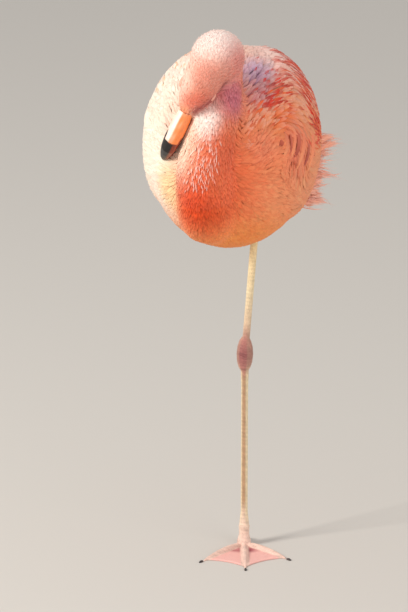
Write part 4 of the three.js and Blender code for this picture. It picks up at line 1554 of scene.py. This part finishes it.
def bill_reach(local):
    """How far out along the bent bill each point lies, from the face."""
    hook = (local[:, 0] - BILL_BEND) * math.cos(HOOK) - (local[:, 2] + 0.005) * math.sin(HOOK)
    straight = local[:, 0] - 0.020
    beyond = smooth_step(0.046, 0.062, straight)
    return mixed(straight, 0.054 + hook, beyond)


print("the bill begins at", bill_reach(in_head(BILL_ROOT[None])).round(4))

# %% [markdown]
# ## The bill's horn
# The upper and lower halves are smooth horn, so welded copies of the solids are remeshed and smoothed.
# The nostril is a long slit pressed into each side of the upper half. The pale pink on the side towards
# the key lamp is painted light, and the orange elsewhere is a painted warm reflection from the breast.
# On the side away from the lamp the black tip turns brown. The black of the tip starts at a soft,
# slightly wavy edge.

# %% Bill
BILL_VOXEL, NOSTRIL_DEPTH = 0.0007, 0.0011
# the pale pink is painted light on the lamp's side, and the orange a painted warm reflection from the breast
BILL_LIT_PALE = linear(255, 232, 216)
BILL_PINK = linear(250, 180, 154)
BILL_REFLECTED_ORANGE = linear(248, 142, 80)
BILL_BLACK = linear(26, 20, 20)
BILL_BROWN = linear(168, 66, 42)
bill_horn = tinted_finish("bill_horn", 0.36, GRAIN, 420, 0.08, 0.10, 0.0003)
set_on_shader(bill_horn, Specular_IOR_Level=0.3, Coat_Weight=0.12, Coat_Roughness=0.25)
for half in ("bill_upper", "bill_lower"):
    piece = welded_copy(half + "_horn", half)
    apply_modifier(piece, "REMESH", mode="VOXEL", voxel_size=BILL_VOXEL)
    apply_modifier(piece, "SMOOTH", factor=0.5, iterations=10)
    points, normals = get_points(piece.data), get_normals(piece.data)
    local = in_head(points)
    reach = bill_reach(local)
    if half == "bill_upper":
        slit = ((reach - 0.020) / 0.0075) ** 2 + ((local[:, 2] + 0.001) / 0.0012) ** 2
        points -= normals * (NOSTRIL_DEPTH * np.exp(-slit ** 2))[:, None]
        set_points(piece.data, points)
    leftward = normals @ HEAD_LEFT
    edge = 0.046 + 0.012 * smooth_step(0.35, 0.95, normals @ HEAD_CROWN) + 0.0015 * mottle(points, 0.006, 41)
    # painted light and shade: pale on the key lamp's side, orange as a painted warm reflection elsewhere
    brown = smooth_step(0.15, 0.7, leftward)[:, None] * 0.8
    black = smooth_step(-0.0025, 0.0025, reach - edge)[:, None]
    warm = smooth_step(0.0, 0.025, reach)[:, None]
    pale = (1 - smooth_step(-0.45, 0.10, leftward + 0.08 * mottle(points, 0.008, 43)))[:, None] * 0.9
    base = mixed(mixed(BILL_PINK, BILL_REFLECTED_ORANGE, warm), BILL_LIT_PALE, pale)
    base = base * (1 + 0.05 * mottle(points, 0.004, 42))[:, None]
    set_tint(piece.data, np.clip(mixed(base, mixed(BILL_BLACK, BILL_BROWN, brown), black), 0, 1))
    pick_only(piece)
    bpy.ops.object.shade_smooth()
    hand_over(piece, bill_horn, "bill", half)
    print(half, "triangles", len(piece.data.polygons) * 2)

# %% [markdown]
# ## The eyes
# The eye is a ball in its socket: a dark pupil, a pale yellow iris and a clear bulge over both. A
# sphere whose pole looks out of the head has rings just where pupil and iris need them. A wet coat
# over the ball gives the highlight.

# %% Eyes
PUPIL_EDGE, IRIS_EDGE = 0.30, 0.80
IRIS_YELLOW, IRIS_RIM, PUPIL_BLACK = linear(238, 216, 110), linear(70, 46, 40), linear(10, 8, 8)
eye_wet = tinted_finish("eye_wet", 0.12, GRAIN, 900, 0.06, 0.0, 0.0001)
set_on_shader(eye_wet, Coat_Weight=1.0, Coat_Roughness=0.03)


def eye_sphere(name, side_name, sign, radius, segments, rings):
    """A sphere at one eye, with its pole looking outward. Returns it and the way it looks."""
    gaze = unit(HEAD_LEFT * sign + HEAD_FORWARD * 0.12)
    turn = Vector(gaze).to_track_quat("Z", "Y").to_euler()
    bpy.ops.object.select_all(action="DESELECT")
    bpy.ops.mesh.primitive_uv_sphere_add(
        segments=segments, ring_count=rings, radius=radius, location=EYES[side_name], rotation=turn
    )
    ball = bpy.context.object
    ball.name = name
    bpy.ops.object.transform_apply(location=True, rotation=True, scale=True)
    return ball, gaze


for side_name, sign in (("left", 1), ("right", -1)):
    ball, gaze = eye_sphere("eyeball_" + side_name, side_name, sign, EYE_RADIUS - 0.0002, 48, 40)
    points = get_points(ball.data)
    arm = unit(points - EYES[side_name])
    angle = np.arccos(np.clip(arm @ gaze, -1, 1))
    points += arm * (0.0004 * (1 - smooth_step(0.35, 0.9, angle)))[:, None]
    set_points(ball.data, points)
    rays = 0.85 + 0.15 * mottle(points * 3, 0.004, 51)
    rim = smooth_step(IRIS_EDGE - 0.08, IRIS_EDGE, angle)[:, None]
    colour = mixed(IRIS_YELLOW * rays[:, None], IRIS_RIM, rim)
    pupil = 1 - smooth_step(PUPIL_EDGE, PUPIL_EDGE + 0.05, angle)[:, None]
    set_tint(ball.data, mixed(colour, PUPIL_BLACK, pupil))
    bpy.ops.object.shade_smooth()
    hand_over(ball, eye_wet, "eye", "eye_" + side_name)
    print(ball.name, "points", len(points))

# %% [markdown]
# ## The lids
# Round the eye lies a thin fold of bare skin with an almond opening. It is a larger sphere with the
# opening and the back cut away, given a wall, and then rounded. The lids are joined to the skin later.

# %% Lids
LID_OPEN = (0.0042, 0.0027)
LID_WALL, LID_BACK = 0.0009, 0.0012
LID_PINK, LID_RIM = linear(248, 178, 156), linear(206, 112, 100)
lids = []
for side_name, sign in (("left", 1), ("right", -1)):
    lid, gaze = eye_sphere("lid_" + side_name, side_name, sign, EYE_RADIUS + 0.0005, 64, 48)
    points = get_points(lid.data)
    arm = points - EYES[side_name]
    along, across = arm @ HEAD_FORWARD - 0.0006, arm @ HEAD_CROWN - 0.0002
    opening = np.sqrt((along / LID_OPEN[0]) ** 2 + (across / LID_OPEN[1]) ** 2)
    open_side = (arm @ gaze > 0) & (opening < 1)
    bpy.ops.object.mode_set(mode="EDIT")
    bpy.ops.mesh.select_all(action="DESELECT")
    bpy.ops.object.mode_set(mode="OBJECT")
    lid.data.vertices.foreach_set("select", open_side | (arm @ gaze < LID_BACK))
    bpy.ops.object.mode_set(mode="EDIT")
    bpy.ops.mesh.select_mode(type="VERT")
    bpy.ops.mesh.delete(type="VERT")
    bpy.ops.object.mode_set(mode="OBJECT")
    apply_modifier(lid, "SOLIDIFY", thickness=LID_WALL, offset=0.4)
    apply_modifier(lid, "SMOOTH", factor=0.5, iterations=6)
    points = get_points(lid.data)
    arm = points - EYES[side_name]
    opening = np.sqrt(((arm @ HEAD_FORWARD) / LID_OPEN[0]) ** 2 + ((arm @ HEAD_CROWN) / LID_OPEN[1]) ** 2)
    rim = (1 - smooth_step(1.0, 1.5, opening))[:, None]
    set_tint(lid.data, mixed(LID_PINK, LID_RIM, rim))
    lids.append(lid)
print("lids", len(lids))

# %% [markdown]
# ## Claws
# Each front toe ends in a short blunt claw of dark horn, paler where it leaves the toe. The solids have
# the shape already, so welded copies only need rounding, and share the bill's grain.

# %% Claws
CLAW_NODES = ("claw_inner_left", "claw_middle_left", "claw_outer_left")
CLAW_ROOT = linear(128, 104, 100)
CLAW_TIP = linear(52, 42, 42)
claws = welded_copy("claw_set", *CLAW_NODES)
apply_modifier(claws, "SUBSURF", levels=2, render_levels=2)
points = get_points(claws.data)
toe_length = np.linalg.norm(TOE_TIPS[:, :2], axis=1)
toe = np.linalg.norm(points[:, None, :2] - TOE_TIPS[None, :, :2], axis=2).argmin(1)
beyond = smooth_step(-0.003, 0.005, np.linalg.norm(points[:, :2], axis=1) - toe_length[toe])[:, None]
set_tint(claws.data, mixed(CLAW_ROOT, CLAW_TIP, beyond))
pick_only(claws)
bpy.ops.object.shade_smooth()
hand_over(claws, tinted_finish("claw_horn", 0.4, GRAIN, 500, 0.25, 0.2, 0.0003), "claw", *CLAW_NODES)
print("claw triangles", len(claws.data.polygons) * 2)

# %% [markdown]
# ## One skin, legs and lids
# The skin under the feathers is soft and matt, and the bare legs are drier and more deeply netted. Both
# use the scale net, each with its own size and depth. The leg, the lids and the body are then joined,
# because on the bird they are one skin, and each part keeps its own finish.

# %% Skin finishes
skin_down = tinted_finish("skin_down", 0.8, SCALES, 300, 0.05, 0.2, 0.0005)
leg_skin = tinted_finish("leg_skin", 0.5, SCALES, 620, 0.14, 0.5, 0.0005)
skin.data.materials.append(skin_down)
for piece in (legs, *lids):
    piece.data.materials.append(leg_skin)
pick_only(skin, legs, *lids)
bpy.ops.object.join()
bpy.ops.object.shade_smooth()
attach(skin, "root")
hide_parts(*REGIONS, *LEG_SOLIDS)
print("skin triangles", sum(len(p.vertices) - 2 for p in skin.data.polygons))
